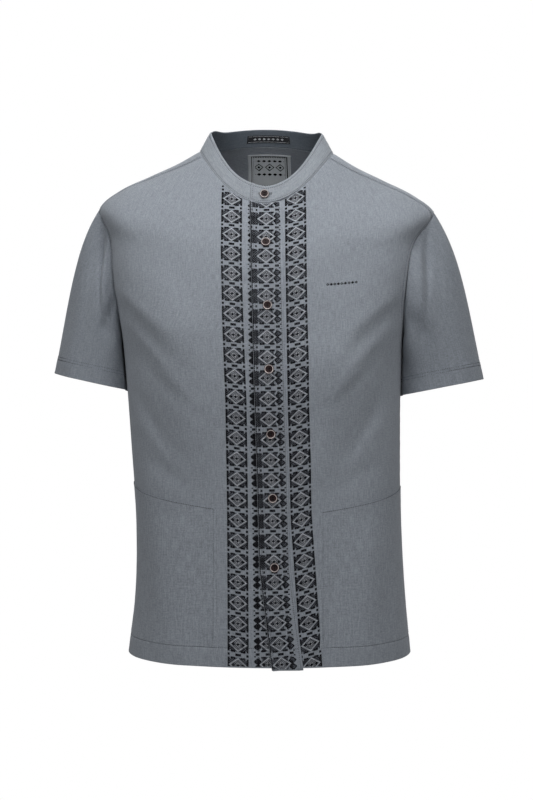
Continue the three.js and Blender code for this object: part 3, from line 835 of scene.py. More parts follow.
def hem_relief(rise: Array, along: Array, depth: float) -> Array:
    """A turned-up hem: 0.4 mm thicker, with a furrow at its stitches and slanting puckers."""
    folded = 0.4 * (1 - smooth(rise, depth - 0.5, depth + 1.5))
    furrow = -0.5 * bump(rise - depth, 0.9)
    drag = 0.3 * waver(along + 0.7 * rise, 15, 2.2) * bump(rise - 0.6 * depth, 0.55 * depth)
    return folded + furrow + drag


BESIDE_SEAM = np.array([0, 0.6, 1.4, 2.4, 4, 6, 8.2, 9.3, 10, 10.7, 12, 15])


@dataclass
class Fronts:
    """The two front panels."""

    cloth: Cloth
    placket_width: float = 41
    placket_lap: float = 5
    edge_top: float = -18
    edge_buttoned: float = -2
    edge_hem: float = 15
    lowest_button: float = 130

    def placket_edge(self, rise: Array) -> Array:
        """x of the placket's free edge: straight to the lowest button, then swinging open."""
        low = self.edge_hem + (self.edge_buttoned - self.edge_hem) * rise / self.lowest_button
        share = (rise - self.lowest_button) / (self.cloth.neck - self.lowest_button)
        high = self.edge_buttoned + (self.edge_top - self.edge_buttoned) * share
        return np.where(rise < self.lowest_button, low, high)

    def placket_seam(self, rise: Array) -> Array:
        """x of the placket's seam on the left front."""
        return self.placket_edge(rise) + self.placket_width - self.placket_lap

    def build(self, side: Side) -> Object:
        """One front: columns are set by their distance from the outer edge.

        Args:
            side: Which front.

        Returns:
            The piece.
        """
        cloth = self.cloth
        rise = spans(
            (0, cloth.vent, 6, (cloth.hem, 3), (0, 1)),
            (cloth.vent, cloth.underarm, 5),
            (cloth.underarm, cloth.front_seam, 4),
            (cloth.front_seam, cloth.neck, 5, (cloth.neck, 3)),
        )
        reach = self.reach(rise, side)
        first = BESIDE_SEAM / reach[:, None]
        rest = first[:, -1:] + (1 - first[:, -1:]) * np.linspace(0, 1, 44)[None, 1:]
        distance = join([first, rest], axis=1) * reach[:, None]
        if side is Side.LEFT:
            distance = distance[:, ::-1]
        rises = np.broadcast_to(rise[:, None], distance.shape)
        turn = self.line(rises, side, distance)
        centre = -reach if side is Side.RIGHT else self.placket_seam(rise)
        panel = Panel("front_" + side.word, cloth, turn, rises)
        piece, points = panel.build(self.relief(rises, distance), centre)
        declare(points)
        return piece

    def ends(self, rise: Array, side: Side) -> Pair:
        """Turns of the outer edge and of the placket's seam, both counted away from the front."""
        return self.cloth.front_edge(rise, side), side.value * self.cloth.turn_at(self.placket_seam(rise), rise)

    def reach(self, rise: Array, side: Side) -> Array:
        """Straight distance between the two edges at a rise."""
        outer, inner = self.ends(rise, side)
        apart = self.cloth.place(outer * side.value, rise) - self.cloth.place(inner * side.value, rise)
        return np.linalg.norm(apart, axis=-1)

    def line(self, rise: Array, side: Side, distance: Array) -> Array:
        """Turn of a place at a distance in from the outer edge."""
        outer, inner = self.ends(rise, side)
        return (outer + (inner - outer) * distance / self.reach(rise, side)) * side.value

    def relief(self, rise: Array, distance: Array) -> Array:
        """How far the front stands out: armhole, vent, side seam, yoke seam, hem and neck."""
        cloth = self.cloth
        top = smooth(rise, cloth.front_seam - 6, cloth.front_seam + 4)
        beside = side_relief(cloth, rise, distance, top) + hem_relief(rise, distance, cloth.hem)
        return beside - pressed(cloth.neck - rise)

    def surface(self, side: Side, x: Array, rise: Array) -> Pair:
        """Points and normals of the front's outer face near the centre front, at a given x."""
        cloth = self.cloth
        turn = cloth.turn_at(x, rise)
        outer, inner = self.ends(rise, side)
        distance = self.reach(rise, side) * (outer - turn * side.value) / (outer - inner)
        return cloth.on(turn, rise, self.relief(rise, distance))

    def sewn(self, rise: Array, side: Side, distance: Array) -> Pair:
        """Points and normals of the outer face at distances from the outer edge."""
        return self.cloth.on(self.line(rise, side, distance), rise, self.relief(rise, distance))

    def stitch(self, side: Side) -> Object:
        """The hem's row, the vent's, and the armhole's two.

        Args:
            side: Which front.

        Returns:
            The thread.
        """
        cloth = self.cloth
        up = np.linspace(cloth.underarm + 3, cloth.front_seam - 1, 90)
        low = np.linspace(2, cloth.vent - 1, 30)
        last = float(self.reach(np.array(cloth.hem), side)) - (5.8 if side is Side.LEFT else 24)
        across = np.linspace(2.5, last, 120)
        rows = [self.sewn(up, side, 0 * up + row) for row in cloth.armhole_rows]
        rows.append(self.sewn(low, side, 0 * low + cloth.vent_row))
        rows.append(self.sewn(0 * across + cloth.hem, side, across))
        return sew("front_%s_stitches" % side.word, rows)


@dataclass
class Back:
    """The back panel."""

    cloth: Cloth

    def build(self) -> Object:
        """Columns run from the wearer's left edge round to the right one."""
        cloth = self.cloth
        rise = spans(
            (0, cloth.vent, 6, (cloth.hem, 3), (0, 1)),
            (cloth.vent, cloth.underarm, 6),
            (cloth.underarm, cloth.back_seam, 4, (cloth.back_seam, 3)),
        )
        reach = self.reach(rise)
        first = BESIDE_SEAM / reach[:, None]
        middle = first[:, -1:] + (1 - 2 * first[:, -1:]) * np.linspace(0, 1, 74)[None, 1:-1]
        share = join([first, middle, 1 - first[:, ::-1]], axis=1)
        rises = np.broadcast_to(rise[:, None], share.shape)
        panel = Panel("back", cloth, self.line(rises, share), rises)
        piece, points = panel.build(self.relief(rises, share), -reach / 2)
        declare(points)
        return piece

    def reach(self, rise: Array) -> Array:
        """Distance between the side edges along the cloth."""
        share = np.linspace(0, 1, 40)
        return arc(self.cloth.place(self.line(rise[:, None], share[None]), rise[:, None]))[:, -1]

    def line(self, rise: Array, share: Array) -> Array:
        """Turn of a place by its share of the way from the left edge to the right one."""
        left = self.cloth.back_edge(rise, Side.LEFT)
        return left + (360 - self.cloth.back_edge(rise, Side.RIGHT) - left) * share

    def relief(self, rise: Array, share: Array) -> Array:
        """How far the back stands out: armholes, side seams, vents, hem and yoke seam."""
        cloth = self.cloth
        across = self.reach(rise) if rise.ndim == 1 else self.reach(rise[:, 0])[:, None]
        distance = np.minimum(share, 1 - share) * across
        beside = side_relief(cloth, rise, distance) + hem_relief(rise, share * across, cloth.hem)
        return beside - pressed(cloth.back_seam - rise)

    def stitch(self) -> Object:
        """The hem's row, and the vent's and the armhole's on both sides."""
        cloth = self.cloth
        up = np.linspace(cloth.underarm + 3, cloth.back_seam - 2, 90)
        low = np.linspace(2, cloth.vent - 1, 30)
        across = np.linspace(0.005, 0.995, 240)
        rows = [self.sewn(0 * across + cloth.hem, across)]
        for rise, distance in (*((up, row) for row in cloth.armhole_rows), (low, cloth.vent_row)):
            share = distance / self.reach(rise)
            rows += [self.sewn(rise, share), self.sewn(rise, 1 - share)]
        return sew("back_stitches", rows)

    def sewn(self, rise: Array, share: Array) -> Pair:
        """Points and normals of the outer face at shares of the way across."""
        return self.cloth.on(self.line(rise, share), rise, self.relief(rise, share))


@dataclass
class Yoke:
    """The shoulder yoke: rows run from the armholes and the back seam up to the neck."""

    cloth: Cloth

    def edge(self, count: int) -> Pair:
        """The yoke's outer edge, from the left front seam to the right one.

        Args:
            count: Places on each half of an armhole's part.

        Returns:
            Turns and rises.
        """
        cloth = self.cloth
        high = np.arccos((cloth.front_seam - cloth.armhole_middle) / cloth.armhole_reach)
        low = np.arccos((cloth.back_seam - cloth.armhole_middle) / cloth.armhole_reach)
        psi = join([np.linspace(-high, 0, count), np.linspace(0, low, count)[1:]])
        turns, rises = [], []
        for side in (Side.LEFT, Side.RIGHT):
            turn, rise = cloth.loop(-psi, side)
            turns.append(turn * side.value)
            rises.append(rise)
        across = np.linspace(turns[0][-1], 360 - turns[1][-1], 84)[1:-1]
        turn = join([turns[0], across, 360 - turns[1][::-1]])
        rise = join([rises[0], np.full(len(across), cloth.back_seam), rises[1][::-1]])
        return turn, rise

    def field(self, share: Array) -> Pair:
        """Turns and rises, a row for each share of the way in from the edge to the neck.

        Each column leads straight from its place on the edge to one at the neck, and the front seams
        swing in on the way.
        """
        cloth = self.cloth
        turn, rise = self.edge(12)
        corner = cloth.back_edge(cloth.back_seam, Side.LEFT)
        first = np.where(turn < 180, turn[0], 360 - turn[-1])
        from_side = np.minimum(turn, 360 - turn)
        swing = (first - cloth.front_seam_turn) * np.clip((corner - from_side) / (corner - first), 0, None)
        top = turn + np.where(turn < 180, -swing, swing)
        return turn + (top - turn) * share[:, None], rise + (cloth.neck - rise) * share[:, None]

    def build(self) -> Object:
        """The yoke, its edges raised over the fronts and the back and stitched down."""
        cloth = self.cloth
        share = join([[0, 0.006, 0.014, 0.028, 0.05, 0.08], np.linspace(0.11, 0.97, 32), [0.985, 1]])
        turns, rises = self.field(share)
        turns = join([self.beside(turns, 0), turns[:, 1:-1], self.beside(turns, 1)], 1)
        rises = join([np.repeat(rises[:, :1], 5, 1), rises[:, 1:-1], np.repeat(rises[:, -1:], 5, 1)], 1)
        place = cloth.place(turns, rises)
        edges = (place[:1], place[:, :1], place[:, -1:])
        away, *sides = (np.linalg.norm(place - edge, axis=-1) for edge in edges)
        relief = (
            seam_relief(away, [1.6], turns * 2.0, 0.45, 0.0)
            + seam_relief(np.minimum(*sides), [2.6], rises, 0.45, 0.0)
            - pressed(cloth.neck - rises)
        )
        panel = Panel("yoke", cloth, turns, rises)
        piece, points = panel.build(np.clip(relief, -0.9, 0.8), np.zeros(len(share)))
        declare(points)
        return piece

    def beside(self, turns: Array, end: int) -> Array:
        """Close columns beside a front seam: the edge and four places within 5 mm of it."""
        steps = np.array([0, 0.45, 1.0, 1.55, 2.4])
        return turns[:, :1] + steps if end == 0 else turns[:, -1:] - steps[::-1]

    def stitch(self) -> Object:
        """One row along the back seam and the armholes, one along each front seam."""
        cloth = self.cloth
        turns, rises = self.field(np.array([0.0, 0.011]))
        rows = [cloth.on(turns[1], rises[1], 0.25)]
        turns, rises = self.field(np.linspace(0.02, 0.98, 80))
        rows += [cloth.on(turns[:, 0] + 1, rises[:, 0], 0.15), cloth.on(turns[:, -1] - 1, rises[:, -1], 0.15)]
        return sew("yoke_stitches", rows)


@dataclass
class Placket:
    """The buttoned strip, from its free edge to its seam on the left front."""

    cloth: Cloth
    fronts: Fronts
    drop: float = 3
    seat: float = 0.35
    thick: float = 1.25
    stitched: float = 3.0

    def relief(self, across: Array, rise: Array) -> Array:
        """How far the strip stands out: edges turned in and stitched, hem turned up."""
        width = self.fronts.placket_width
        inset = np.minimum(across, width - across)
        return (
            self.seat
            + self.thick * (1 - 0.6 * smooth(across, width - 4.5, width - 0.5))
            + 0.12
            - 0.35 * bump(inset, 0.7)
            - 0.3 * bump(inset - self.stitched, 0.8)
            + (1.9 + 0.4 * waver(rise, 47, 0.4)) * bump(across - 0.5, 5.5)
            + hem_relief(np.maximum(rise, 0), across, self.cloth.hem) * 0.6
        )

    def surface(self, x: Array, rise: Array) -> Pair:
        """Points and normals of the outer face at a given x."""
        relief = self.relief(x - self.fronts.placket_edge(rise), rise)
        return self.cloth.on(self.cloth.turn_at(x, rise), rise, relief)

    def build(self) -> Object:
        """A strip of doubled cloth whose long edges are stitched down 3 mm in."""
        cloth = self.cloth
        rise = marks(-self.drop, cloth.neck - 4, 4.5, (cloth.hem, 3))
        width = self.fronts.placket_width
        across = np.array(
            [0, 0.5, 1.2, 2.2, 3, 3.8, 5.5, 9, 13, 18, 23, 28, 32, 35.5, 37.2, 38, 38.8, 39.8, 40.5, width]
        )
        rises = np.broadcast_to(rise[:, None], (len(rise), len(across)))
        x = self.fronts.placket_edge(rises) + across
        outer, _ = self.surface(x, rises)
        inner, _ = cloth.on(cloth.turn_at(x, rises), rises, self.seat)
        uv = np.stack([np.broadcast_to(across, x.shape) + 7, rises], -1)
        piece = shell("placket", outer, inner, uv, [Finish.BODY.material, Finish.INNER.material])
        dress(piece, "placket")
        declare(outer)
        return piece

    def stitch(self) -> Object:
        """A row 3 mm in from each long edge and one along the hem, and a dark line of thread along the free
        edge: painted shadow of the raised edge on the underlap.
        """
        rise = np.linspace(0, self.cloth.neck - 6, 260)
        edge = self.fronts.placket_edge(rise)
        ends = (self.stitched, self.fronts.placket_width - self.stitched)
        rows = [self.surface(edge + across, rise) for across in ends]
        across = np.linspace(*ends, 20)
        low = 0 * across + self.cloth.hem
        rows.append(self.surface(self.fronts.placket_edge(low) + across, low))
        # Dark thread laid close along the free edge: painted shadow that the raised edge casts on the underlap.
        sew("placket_edge_shadow_thread", [self.surface(edge + 0.25, rise)], Finish.DARK, 2.4, 2.5, 0.62)
        return sew("placket_stitches", rows)


@dataclass
class Pocket:
    """A patch pocket of the front's own cloth, with a slanted mouth."""

    cloth: Cloth
    fronts: Fronts
    side: Side
    inner_x: float
    outer_share: float
    inner_rise: float
    outer_rise: float
    seat: float = 0.25
    thick: float = 0.35
    size: Size = (118.0, 190.0)
    stitched: float = 2.2
    mouth: float = 22.0

    def field(self, across: Array, up: Array) -> Pair:
        """Turn and rise of a place, by its shares from the inner edge and from the hem."""
        cloth, side = self.cloth, self.side
        rise = cloth.hem + (self.inner_rise + (self.outer_rise - self.inner_rise) * across - cloth.hem) * up
        edge, start = self.fronts.ends(rise, side)
        low_rise = cloth.hem + (self.inner_rise - cloth.hem) * up
        low_edge, low_start = self.fronts.ends(low_rise, side)
        inner = (side.value * cloth.turn_at(self.inner_x, low_rise) - low_start) / (low_edge - low_start)
        share = inner + (self.outer_share - inner) * across
        return side.value * (start + (edge - start) * share), rise

    def build(self) -> Object:
        """Edges are turned in and stitched; the mouth has a 22 mm hem and stands a little open."""
        near = np.array([0, 0.5, 1.2, 2.0, 3.0, 5.0])
        width, height = self.size
        across = join([near / width, np.linspace(9, width - 9, 34) / width, 1 - near[::-1] / width])
        hem = self.mouth + np.array([1.5, 0, -1.5])
        last = height - join([hem, [14, 8, 4, 2, 0.8, 0]])
        up = join([near, np.linspace(8, 165, 38), last]) / height
        share, lift = np.meshgrid(across, up)
        if self.side is Side.RIGHT:
            share = share[:, ::-1]
        turn, rise = self.field(share, lift)
        outer, _ = self.cloth.on(turn, rise, self.relief(share, lift, rise))
        inner, _ = self.cloth.on(turn, rise, self.seat)
        uv = np.stack([share * width + 31, rise], -1)
        name = "pocket_" + self.side.word
        piece = shell(name, outer, inner, uv, [Finish.BODY.material, Finish.INNER.material])
        dress(piece, name)
        declare(outer)
        return piece

    def relief(self, share: Array, lift: Array, rise: Array) -> Array:
        """How far the patch stands out: pressed edges, their stitches, and the mouth's hem."""
        width, height = self.size
        inset = np.minimum(np.minimum(share, 1 - share) * width, lift * height)
        mouth = (1 - lift) * height
        return (
            self.seat
            + self.thick
            - 0.3 * bump(inset, 0.8)
            - 0.12 * bump(inset - self.stitched, 0.8)
            + 0.12 * (1 - smooth(mouth, self.mouth - 2, self.mouth + 2))
            + 0.12 * waver(rise + 0.6 * share * width, 23, 0.9) * bump(inset - 5, 6)
            + 0.7 * bump(share - 0.45, 0.3) * bump(mouth, 18)
            - 0.25 * bump(mouth, 1.2)
        )

    def stitch(self) -> Object:
        """A row up each side edge in matched thread, and a close row of dark thread along the mouth's edge:
        painted shadow at the mouth.
        """
        width, height = self.size
        near_side, near_foot = self.stitched / width, self.stitched / height
        up = np.linspace(near_foot, 0.995, 90)
        over = np.linspace(near_side, 1 - near_side, 60)
        rows = []
        for share, lift in (
            (0 * up + near_side, up),
            (over, 0 * over + 1 - 0.4 / height),
            (0 * up + 1 - near_side, up),
        ):
            turn, rise = self.field(share, lift)
            rows.append(self.cloth.on(turn, rise, self.relief(share, lift, rise)))
        # Dark thread, 2.5 mm long at a 2.6 mm pitch, right along the mouth's edge: painted shadow at the
        # pocket's opening.
        sew("pocket_%s_mouth_stitches" % self.side.word, rows[1:2], Finish.SEWING, 2.6, 2.5, 0.4)
        return sew("pocket_%s_stitches" % self.side.word, rows[::2], Finish.MATCHED)


SLEEVE_FOLDS = np.array(  # around, along, spread, reach, height
    [
        [50, 0.2, 16, 0.14, -4.5], [104, 0.55, 16, 0.3, -4], [62, 0.75, 18, 0.35, 3], [256, 0.5, 18, 0.3, -4],
        [306, 0.35, 18, 0.25, 3],
    ]
)
SLEEVE_CREASES = np.array(  # from around, along, to around, along, width, height
    [
        [34, 0.02, 84, 0.34, 6, -5.4], [52, 0.02, 100, 0.4, 8, 4.0], [72, 0.08, 128, 0.5, 10, 3.0],
        [120, 0.1, 96, 0.6, 9, -3.8], [150, 0.14, 112, 0.7, 10, 2.4], [160, 0.3, 128, 0.9, 9, -2.4],
        [60, 0.34, 74, 0.92, 12, -2.2], [20, 0.3, 34, 0.8, 15, -1.8], [345, 0.2, 338, 0.72, 14, 1.8],
        [300, 0.04, 262, 0.4, 9, -3.2], [246, 0.12, 268, 0.62, 10, 2.5], [216, 0.16, 238, 0.74, 9, -2.3],
        [280, 0.5, 288, 0.9, 12, 1.7],
    ]
)


@dataclass
class Sleeve:
    """A short sleeve: a smooth curve leads from each place of the armhole to the cuff."""

    cloth: Cloth
    side: Side
    cuff: Triple
    width: float
    depth: float
    drop: float
    creases: Array
    folds: Array = field(default_factory=lambda: SLEEVE_FOLDS)
    rows: Size = (20.0, 24.0)
    long: float = 240
    columns: int = 150
    girth: float = 1.08
    tuck: float = 3.4
    wall: float = 1.2
    clear: float = 3.2
    touching: float = -260

    def heading(self, angle: Array, outward: float, forward: float, down: float, least: float) -> Array:
        """A direction that leans outward at the shoulder and least at the underarm."""
        lean = least + (outward - least) * (1 + np.cos(angle)) / 2
        parts = [self.side.value * lean, -forward * np.sin(angle), np.full_like(angle, -down)]
        return unit(np.stack(parts, -1))

    def body_side(self, y: Array, z: Array) -> Array:
        """Half width of the body at a depth and a height below the underarm."""
        _, _, _, width, front, back, shift, square, _ = self.cloth.ring(z + self.cloth.length)
        angle = np.arccos(np.clip(-y / np.where(y < 0, front, back), -1, 1))
        across = (np.sin(angle) + square * np.sin(3 * angle)) / (1 - square)
        return width * across + self.side.value * shift

    def surface(self, around: int, along: Array) -> tuple[Array, Array, Array]:
        """Points of the sleeve, one row for each share along.

        Args:
            around: Columns once round.
            along: Shares from the armhole to the cuff.

        Returns:
            Points, each column's angle (0 at the shoulder, 180 at the underarm), and lengths.
        """
        dense = np.linspace(0, 2 * np.pi, 721)
        edge = self.cloth.place(*self.cloth.loop(dense, self.side))
        length = arc(edge)
        under = length[360]
        behind = 180 + 180 * (length - under) / (length[-1] - under)
        turned = np.where(dense <= np.pi, 180 * length / under, behind)
        angles = np.linspace(0, 360, around, endpoint=False)
        psi = np.interp(angles, turned, dense)
        start = self.cloth.place(*self.cloth.loop(psi, self.side))
        angle = np.radians(angles)
        sizes = np.array([self.side.value * self.width, -self.depth, self.drop / 2])
        cuff = self.cuff + sizes * np.stack([np.cos(angle), np.sin(angle), np.cos(angle)], -1)
        reach = np.linalg.norm(start - cuff, axis=-1, keepdims=True)
        leave = start + self.heading(angle, 0.56, 0.16, 0.82, 0.06) * 0.3 * reach
        arrive = cuff - self.heading(angle, 0.22, 0, 0.975, 0.22) * 0.35 * reach
        t = along[:, None, None]
        points = (1 - t) ** 3 * start + 3 * t * (1 - t) ** 2 * leave
        points = points + 3 * t * t * (1 - t) * arrive + t**3 * cuff
        out = points - points.mean(1, keepdims=True)
        out[..., 2] = 0
        out = unit(out)
        height = np.zeros(points.shape[:2])
        for place, share, spread, span, lift in self.folds:
            off = (angles[None] - place + 540) % 360 - 180
            height += lift * bump(off, spread) * bump(along[:, None] - share, span)
        flat = self.creases * [self.girth, self.long, self.girth, self.long, 1, 1]
        for crease in flat:
            for shift in (-360, 0, 360):
                places = (angles[None] + shift) * self.girth, along[:, None] * self.long
                height += Folds(crease[None]).height(*places, True)
        points = points + out * (height * smooth(along, 0, 0.06)[:, None])[..., None]
        below = points[..., 2] <= -self.cloth.length + self.cloth.underarm
        least = self.body_side(points[..., 1], np.minimum(points[..., 2], self.touching)) + self.clear
        x = points[..., 0] * self.side.value
        points[..., 0] = self.side.value * np.where(below, np.maximum(x, least), x)
        return points, angles, arc(np.swapaxes(points, 0, 1)).T

    def build(self) -> Object:
        """The tube, with its seam turned under the body's edge and a stitched hem."""
        steps = join([[0, 0.004, 0.01, 0.02, 0.035], np.linspace(0.055, 0.86, 50)])
        tail = np.array([25.5, 24.8, 24, 23.2, 22, 20.8, 20, 19.2, 17, 13, 9, 5, 2, 0.8, 0])
        tail = 1 - tail / self.long
        along = join([steps[steps < tail[0] - 0.004], tail])
        outer, normal, from_cuff, rim = self.finished(along)
        tucked = outer[-1:] + unit(outer[-1:] - outer[-3:-2]) * self.tuck - normal[-1:] * 1.9
        outer = join([outer, tucked])
        normal = join([normal, normal[-1:]])
        inner = outer - normal * self.wall
        from_cuff = join([from_cuff, from_cuff[-1:] + self.tuck])
        uv = np.stack([np.broadcast_to(rim, from_cuff.shape), from_cuff], -1)
        name = "sleeve_" + self.side.word
        # Both faces take the darker sleeve copy of the chambray: painted shade.
        piece = shell(name, outer, inner, uv, [Finish.SLEEVE.material] * 2, True)
        dress(piece, name, slot="sleeve_cloth")
        declare(join([outer, outer[:, :1]], 1))
        return piece

    def finished(self, along: Array, start: float = 0) -> tuple[Array, ...]:
        """The outer face with its hem, stitch furrows and puckers.

        Args:
            along: Shares of the way from the armhole to the cuff.
            start: Millimetres from the armhole to the first share.

        Returns:
            Outer points and normals from the cuff up, distances from the cuff, and places round it.
        """
        points, angles, length = self.surface(self.columns, along)
        if self.side is Side.LEFT:
            points, length, angles = points[:, ::-1], length[:, ::-1], angles[::-1]
        length = length + start
        flip = points[::-1]
        normal = tube_normals(flip)
        from_cuff = (length[-1] - length)[::-1]
        from_seam = length[::-1]
        rim = angles[None] * 1.1
        relief = (
            0.4 * (1 - smooth(from_cuff, 23.5, 26))
            - sum(0.4 * bump(from_cuff - row, 0.8) for row in self.rows)
            + 0.28 * waver(rim + 0.8 * from_cuff, 13, 1.9) * bump(from_cuff - 14, 13)
            - 0.9 * bump(from_seam, 1.2)
            + 0.3 * waver(rim, 15, 0.3) * bump(from_seam - 6, 6)
        )
        return flip + normal * relief[..., None], normal, from_cuff, rim

    def stitch(self) -> Object:
        """Two rows round the hem."""
        ends = []
        outer, normal, from_cuff, _ = self.finished(np.linspace(0.5, 1, 90), 100)
        for row in self.rows:
            share = np.array([np.interp(row, column, np.arange(len(column))) for column in from_cuff.T])
            low = np.floor(share).astype(int)
            part = (share - low)[:, None]
            column = np.arange(outer.shape[1])
            place = outer[low, column] * (1 - part) + outer[low + 1, column] * part
            facing = normal[low, column]
            ends.append((join([place, place[:1]]), join([facing, facing[:1]])))
        return sew("sleeve_%s_stitches" % self.side.word, ends)


@dataclass
class Collar:
    """The standing band collar, which laps at the front."""

    cloth: Cloth
    start: float = -11
    end: float = 370
    thick: float = 2.2
    tall: float = 25
    girth: float = 1.5
    stitched: Size = (0.09, 0.86)
    lift_full: float = 15
    lift_none: float = 36
    corner: float = 4.2
    peak: float = 2.2
    front: Size = (23, 8)
    side: Size = (27, 15)
    back: Size = (24, 5)

    def ring(self, angle: Array, share: Array) -> Array:
        """Points of the leaning ring: up from the neck seam, and in, by a share of the height.

        Front, side and back each have a height and a lean, joined by the square of the cosine.
        """
        point = self.cloth.place(angle, self.cloth.neck)
        cos = np.cos(np.radians(angle))
        rise, lean = (
            side + (np.where(cos > 0, front, back) - side) * cos**2
            for front, side, back in zip(self.front, self.side, self.back)
        )
        turn = np.mod(angle, 360)
        rise = rise + self.corner * bump(70 - np.abs(turn - 180), 15) + self.peak * bump(turn - 346, 12)
        inward = unit(point * np.array([-1, -1, 0])) * (lean * share)[..., None]
        return point + inward + np.stack([0 * share, 0 * share, 0.3 + rise * share], -1)

    def on(self, turn: Array, share: Array) -> Pair:
        """Points and normals at a turn and a share of the height; the lap is lifted over the end."""
        turn, share = np.broadcast_arrays(turn, share)
        around = self.ring(turn + 0.5, share) - self.ring(turn - 0.5, share)
        angle = np.radians(turn)
        lean_x, lean_y = -np.sin(angle) * self.side[1], np.cos(angle) * self.front[1]
        normal = unit(np.cross(around, np.stack([lean_x, lean_y, np.full_like(angle, self.side[0])], -1)))
        proud = self.thick + 0.4
        lift = np.where(turn < 180, proud * (1 - smooth(turn, self.lift_full, self.lift_none)), 0)
        return self.ring(turn, share) + normal * lift[..., None], normal

    def build(self) -> Object:
        """A doubled band with a soft roll at its top and stitches along both edges."""
        near = np.array([0, 0.4, 1])
        turn = join([self.start + near, np.arange(-9, 369, 2.0), self.end - near[::-1]])
        share = np.array(
            [0, 0.03, 0.06, 0.09, 0.12, 0.18, 0.28, 0.4, 0.52, 0.64, 0.76, 0.82, 0.86, 0.9, 0.95, 1.0]
        )
        turns, shares = np.meshgrid(turn, share)
        outer, normal = self.surface(turns, shares)
        middle, _ = self.on(turns, shares)
        height = shares * self.tall
        inner = middle - normal * (self.thick - 0.5 * bump(self.tall - height, 1.2))[..., None]
        uv = np.stack([height + 90, turns * self.girth], -1)
        # The collar's inner face takes the darker copy of the chambray: painted shade inside the neck.
        piece = shell("collar_band", outer, inner, uv, [Finish.COLLAR.material, Finish.INNER.material])
        dress(piece, "collar_band")
        declare(outer)
        return piece

    def surface(self, turn: Array, share: Array) -> Pair:
        """Points and normals of the outer face: a soft roll at the top, furrows at the stitches."""
        middle, normal = self.on(turn, share)
        height = share * self.tall
        plump = (
            -0.5 * bump(self.tall - height, 1.0)
            - 0.35 * bump(height - 2.2, 0.8)
            - 0.35 * bump(height - 21.5, 0.8)
            - 0.25 * bump(height, 0.8)
            + 0.18 * waver(turn * self.girth + height, 21, 0.5) * bump(height - 12, 9)
        )
        return middle + normal * plump[..., None], normal

    def stitch(self) -> Object:
        """A row near the neck seam and one near the top, joined down both ends."""
        turn = np.linspace(self.start + 1.6, self.end - 1.6, 380)
        share = np.linspace(*self.stitched, 12)
        rows = [self.surface(turn, 0 * turn + row) for row in self.stitched]
        rows.append(self.surface(np.full_like(share, turn[0]), share))
        return sew("collar_stitches", rows)


# ---- thread


def sew(
    name: str, rows: Sequence[Pair], finish: Finish = Finish.SEWING,
    pitch: float = 2.6, length: float = 2.0, radius: float = 0.34,
) -> Object:
    """Rows of lockstitches: each is a short four-sided spindle whose ends dip into the cloth.

    Args:
        name: The piece's name.
        rows: Points along each row, and the cloth's normals there.
        finish: The thread.
        pitch: From one stitch to the next in mm.
        length: Of one stitch.
        radius: Of the thread.

    Returns:
        The piece.
    """
    vertices, faces, start = [], [], 0
    for points, normals in rows:
        run = arc(points)
        count = max(1, int(run[-1] / pitch))
        middle = (np.arange(count) + 0.5) * run[-1] / count
        first, last = (read(points, run, middle + half) for half in (-length / 2, length / 2))
        up = unit(read(normals, run, middle))
        ahead = unit(last - first)
        across = np.cross(up, ahead)
        rings = [first - up * 0.12]
        for share in (0.22, 0.78):
            heart = first + (last - first) * share + up * radius * 0.55
            aside, above = across * radius, up * radius * 0.8
            rings += [heart + aside, heart + above, heart - aside, heart - above]
        rings.append(last - up * 0.12)
        vertices.append(np.stack(rings, 1).reshape(-1, 3))
        turn = np.array([0, 1, 2, 3])
        after = (turn + 1) % 4
        shape = join(
            [
                np.stack([0 * turn, 1 + after, 1 + turn], -1),
                np.stack([1 + turn, 1 + after, 5 + after], -1),
                np.stack([1 + turn, 5 + after, 5 + turn], -1),
                np.stack([5 + turn, 5 + after, 0 * turn + 9], -1),
            ]
        )
        faces.append((shape[None] + (start + 10 * np.arange(count))[:, None, None]).reshape(-1, 3))
        start += 10 * count
    piece = new_object(name, join(vertices), join(faces), [finish.material])
    return dress(piece)


def bars(
    name: str, first: Array, last: Array, normal: Array, finishes: Sequence[Finish],
    inks: Array | None = None, uv: Pair | None = None,
    width: float = 0.8, height: float = 0.34, slot: str = "body_cloth",
) -> Object:
    """Satin stitches: each is a low closed bar with a narrower top, from one place to another.

    Args:
        name: The piece's name.
        first: n by 3 places where the stitches start, on the cloth.
        last: n by 3 places where they end.
        normal: The cloth's normals.
        finishes: The threads.
        inks: Each stitch's thread, as a number of finishes, or None for the first.
        uv: n by 2 pattern places of both ends in mm, or None.
        width: Of one stitch.
        height: How far it stands up.
        slot: The record's material slot; not used.

    Returns:
        The piece.
    """
    ahead = unit(last - first)
    across = np.cross(normal, ahead)
    inset = min(0.12, width / 5)
    corners = []
    for edge, half, lift in ((0, width / 2, -0.15), (inset, width / 2 - inset, height)):
        begin, stop = first + ahead * edge + normal * lift, last - ahead * edge + normal * lift
        corners += [begin + across * half, begin - across * half, stop - across * half, stop + across * half]
    shape = np.array([[0, 3, 2, 1], [4, 5, 6, 7], [0, 1, 5, 4], [1, 2, 6, 5], [2, 3, 7, 6], [3, 0, 4, 7]])
    count = len(first)
    faces = (shape[None] + 8 * np.arange(count)[:, None, None]).reshape(-1, 4)
    flat = None
    if uv is not None:
        flat = np.stack([uv[0], uv[0], uv[1], uv[1]] * 2, 1).reshape(-1, 2) * MM
    slots = None if inks is None else np.repeat(inks, len(shape))
    materials = [finish.material for finish in finishes]
    vertices = np.stack(corners, 1).reshape(-1, 3)
    return dress(new_object(name, vertices, faces, materials, flat, slots, True), slot=slot)


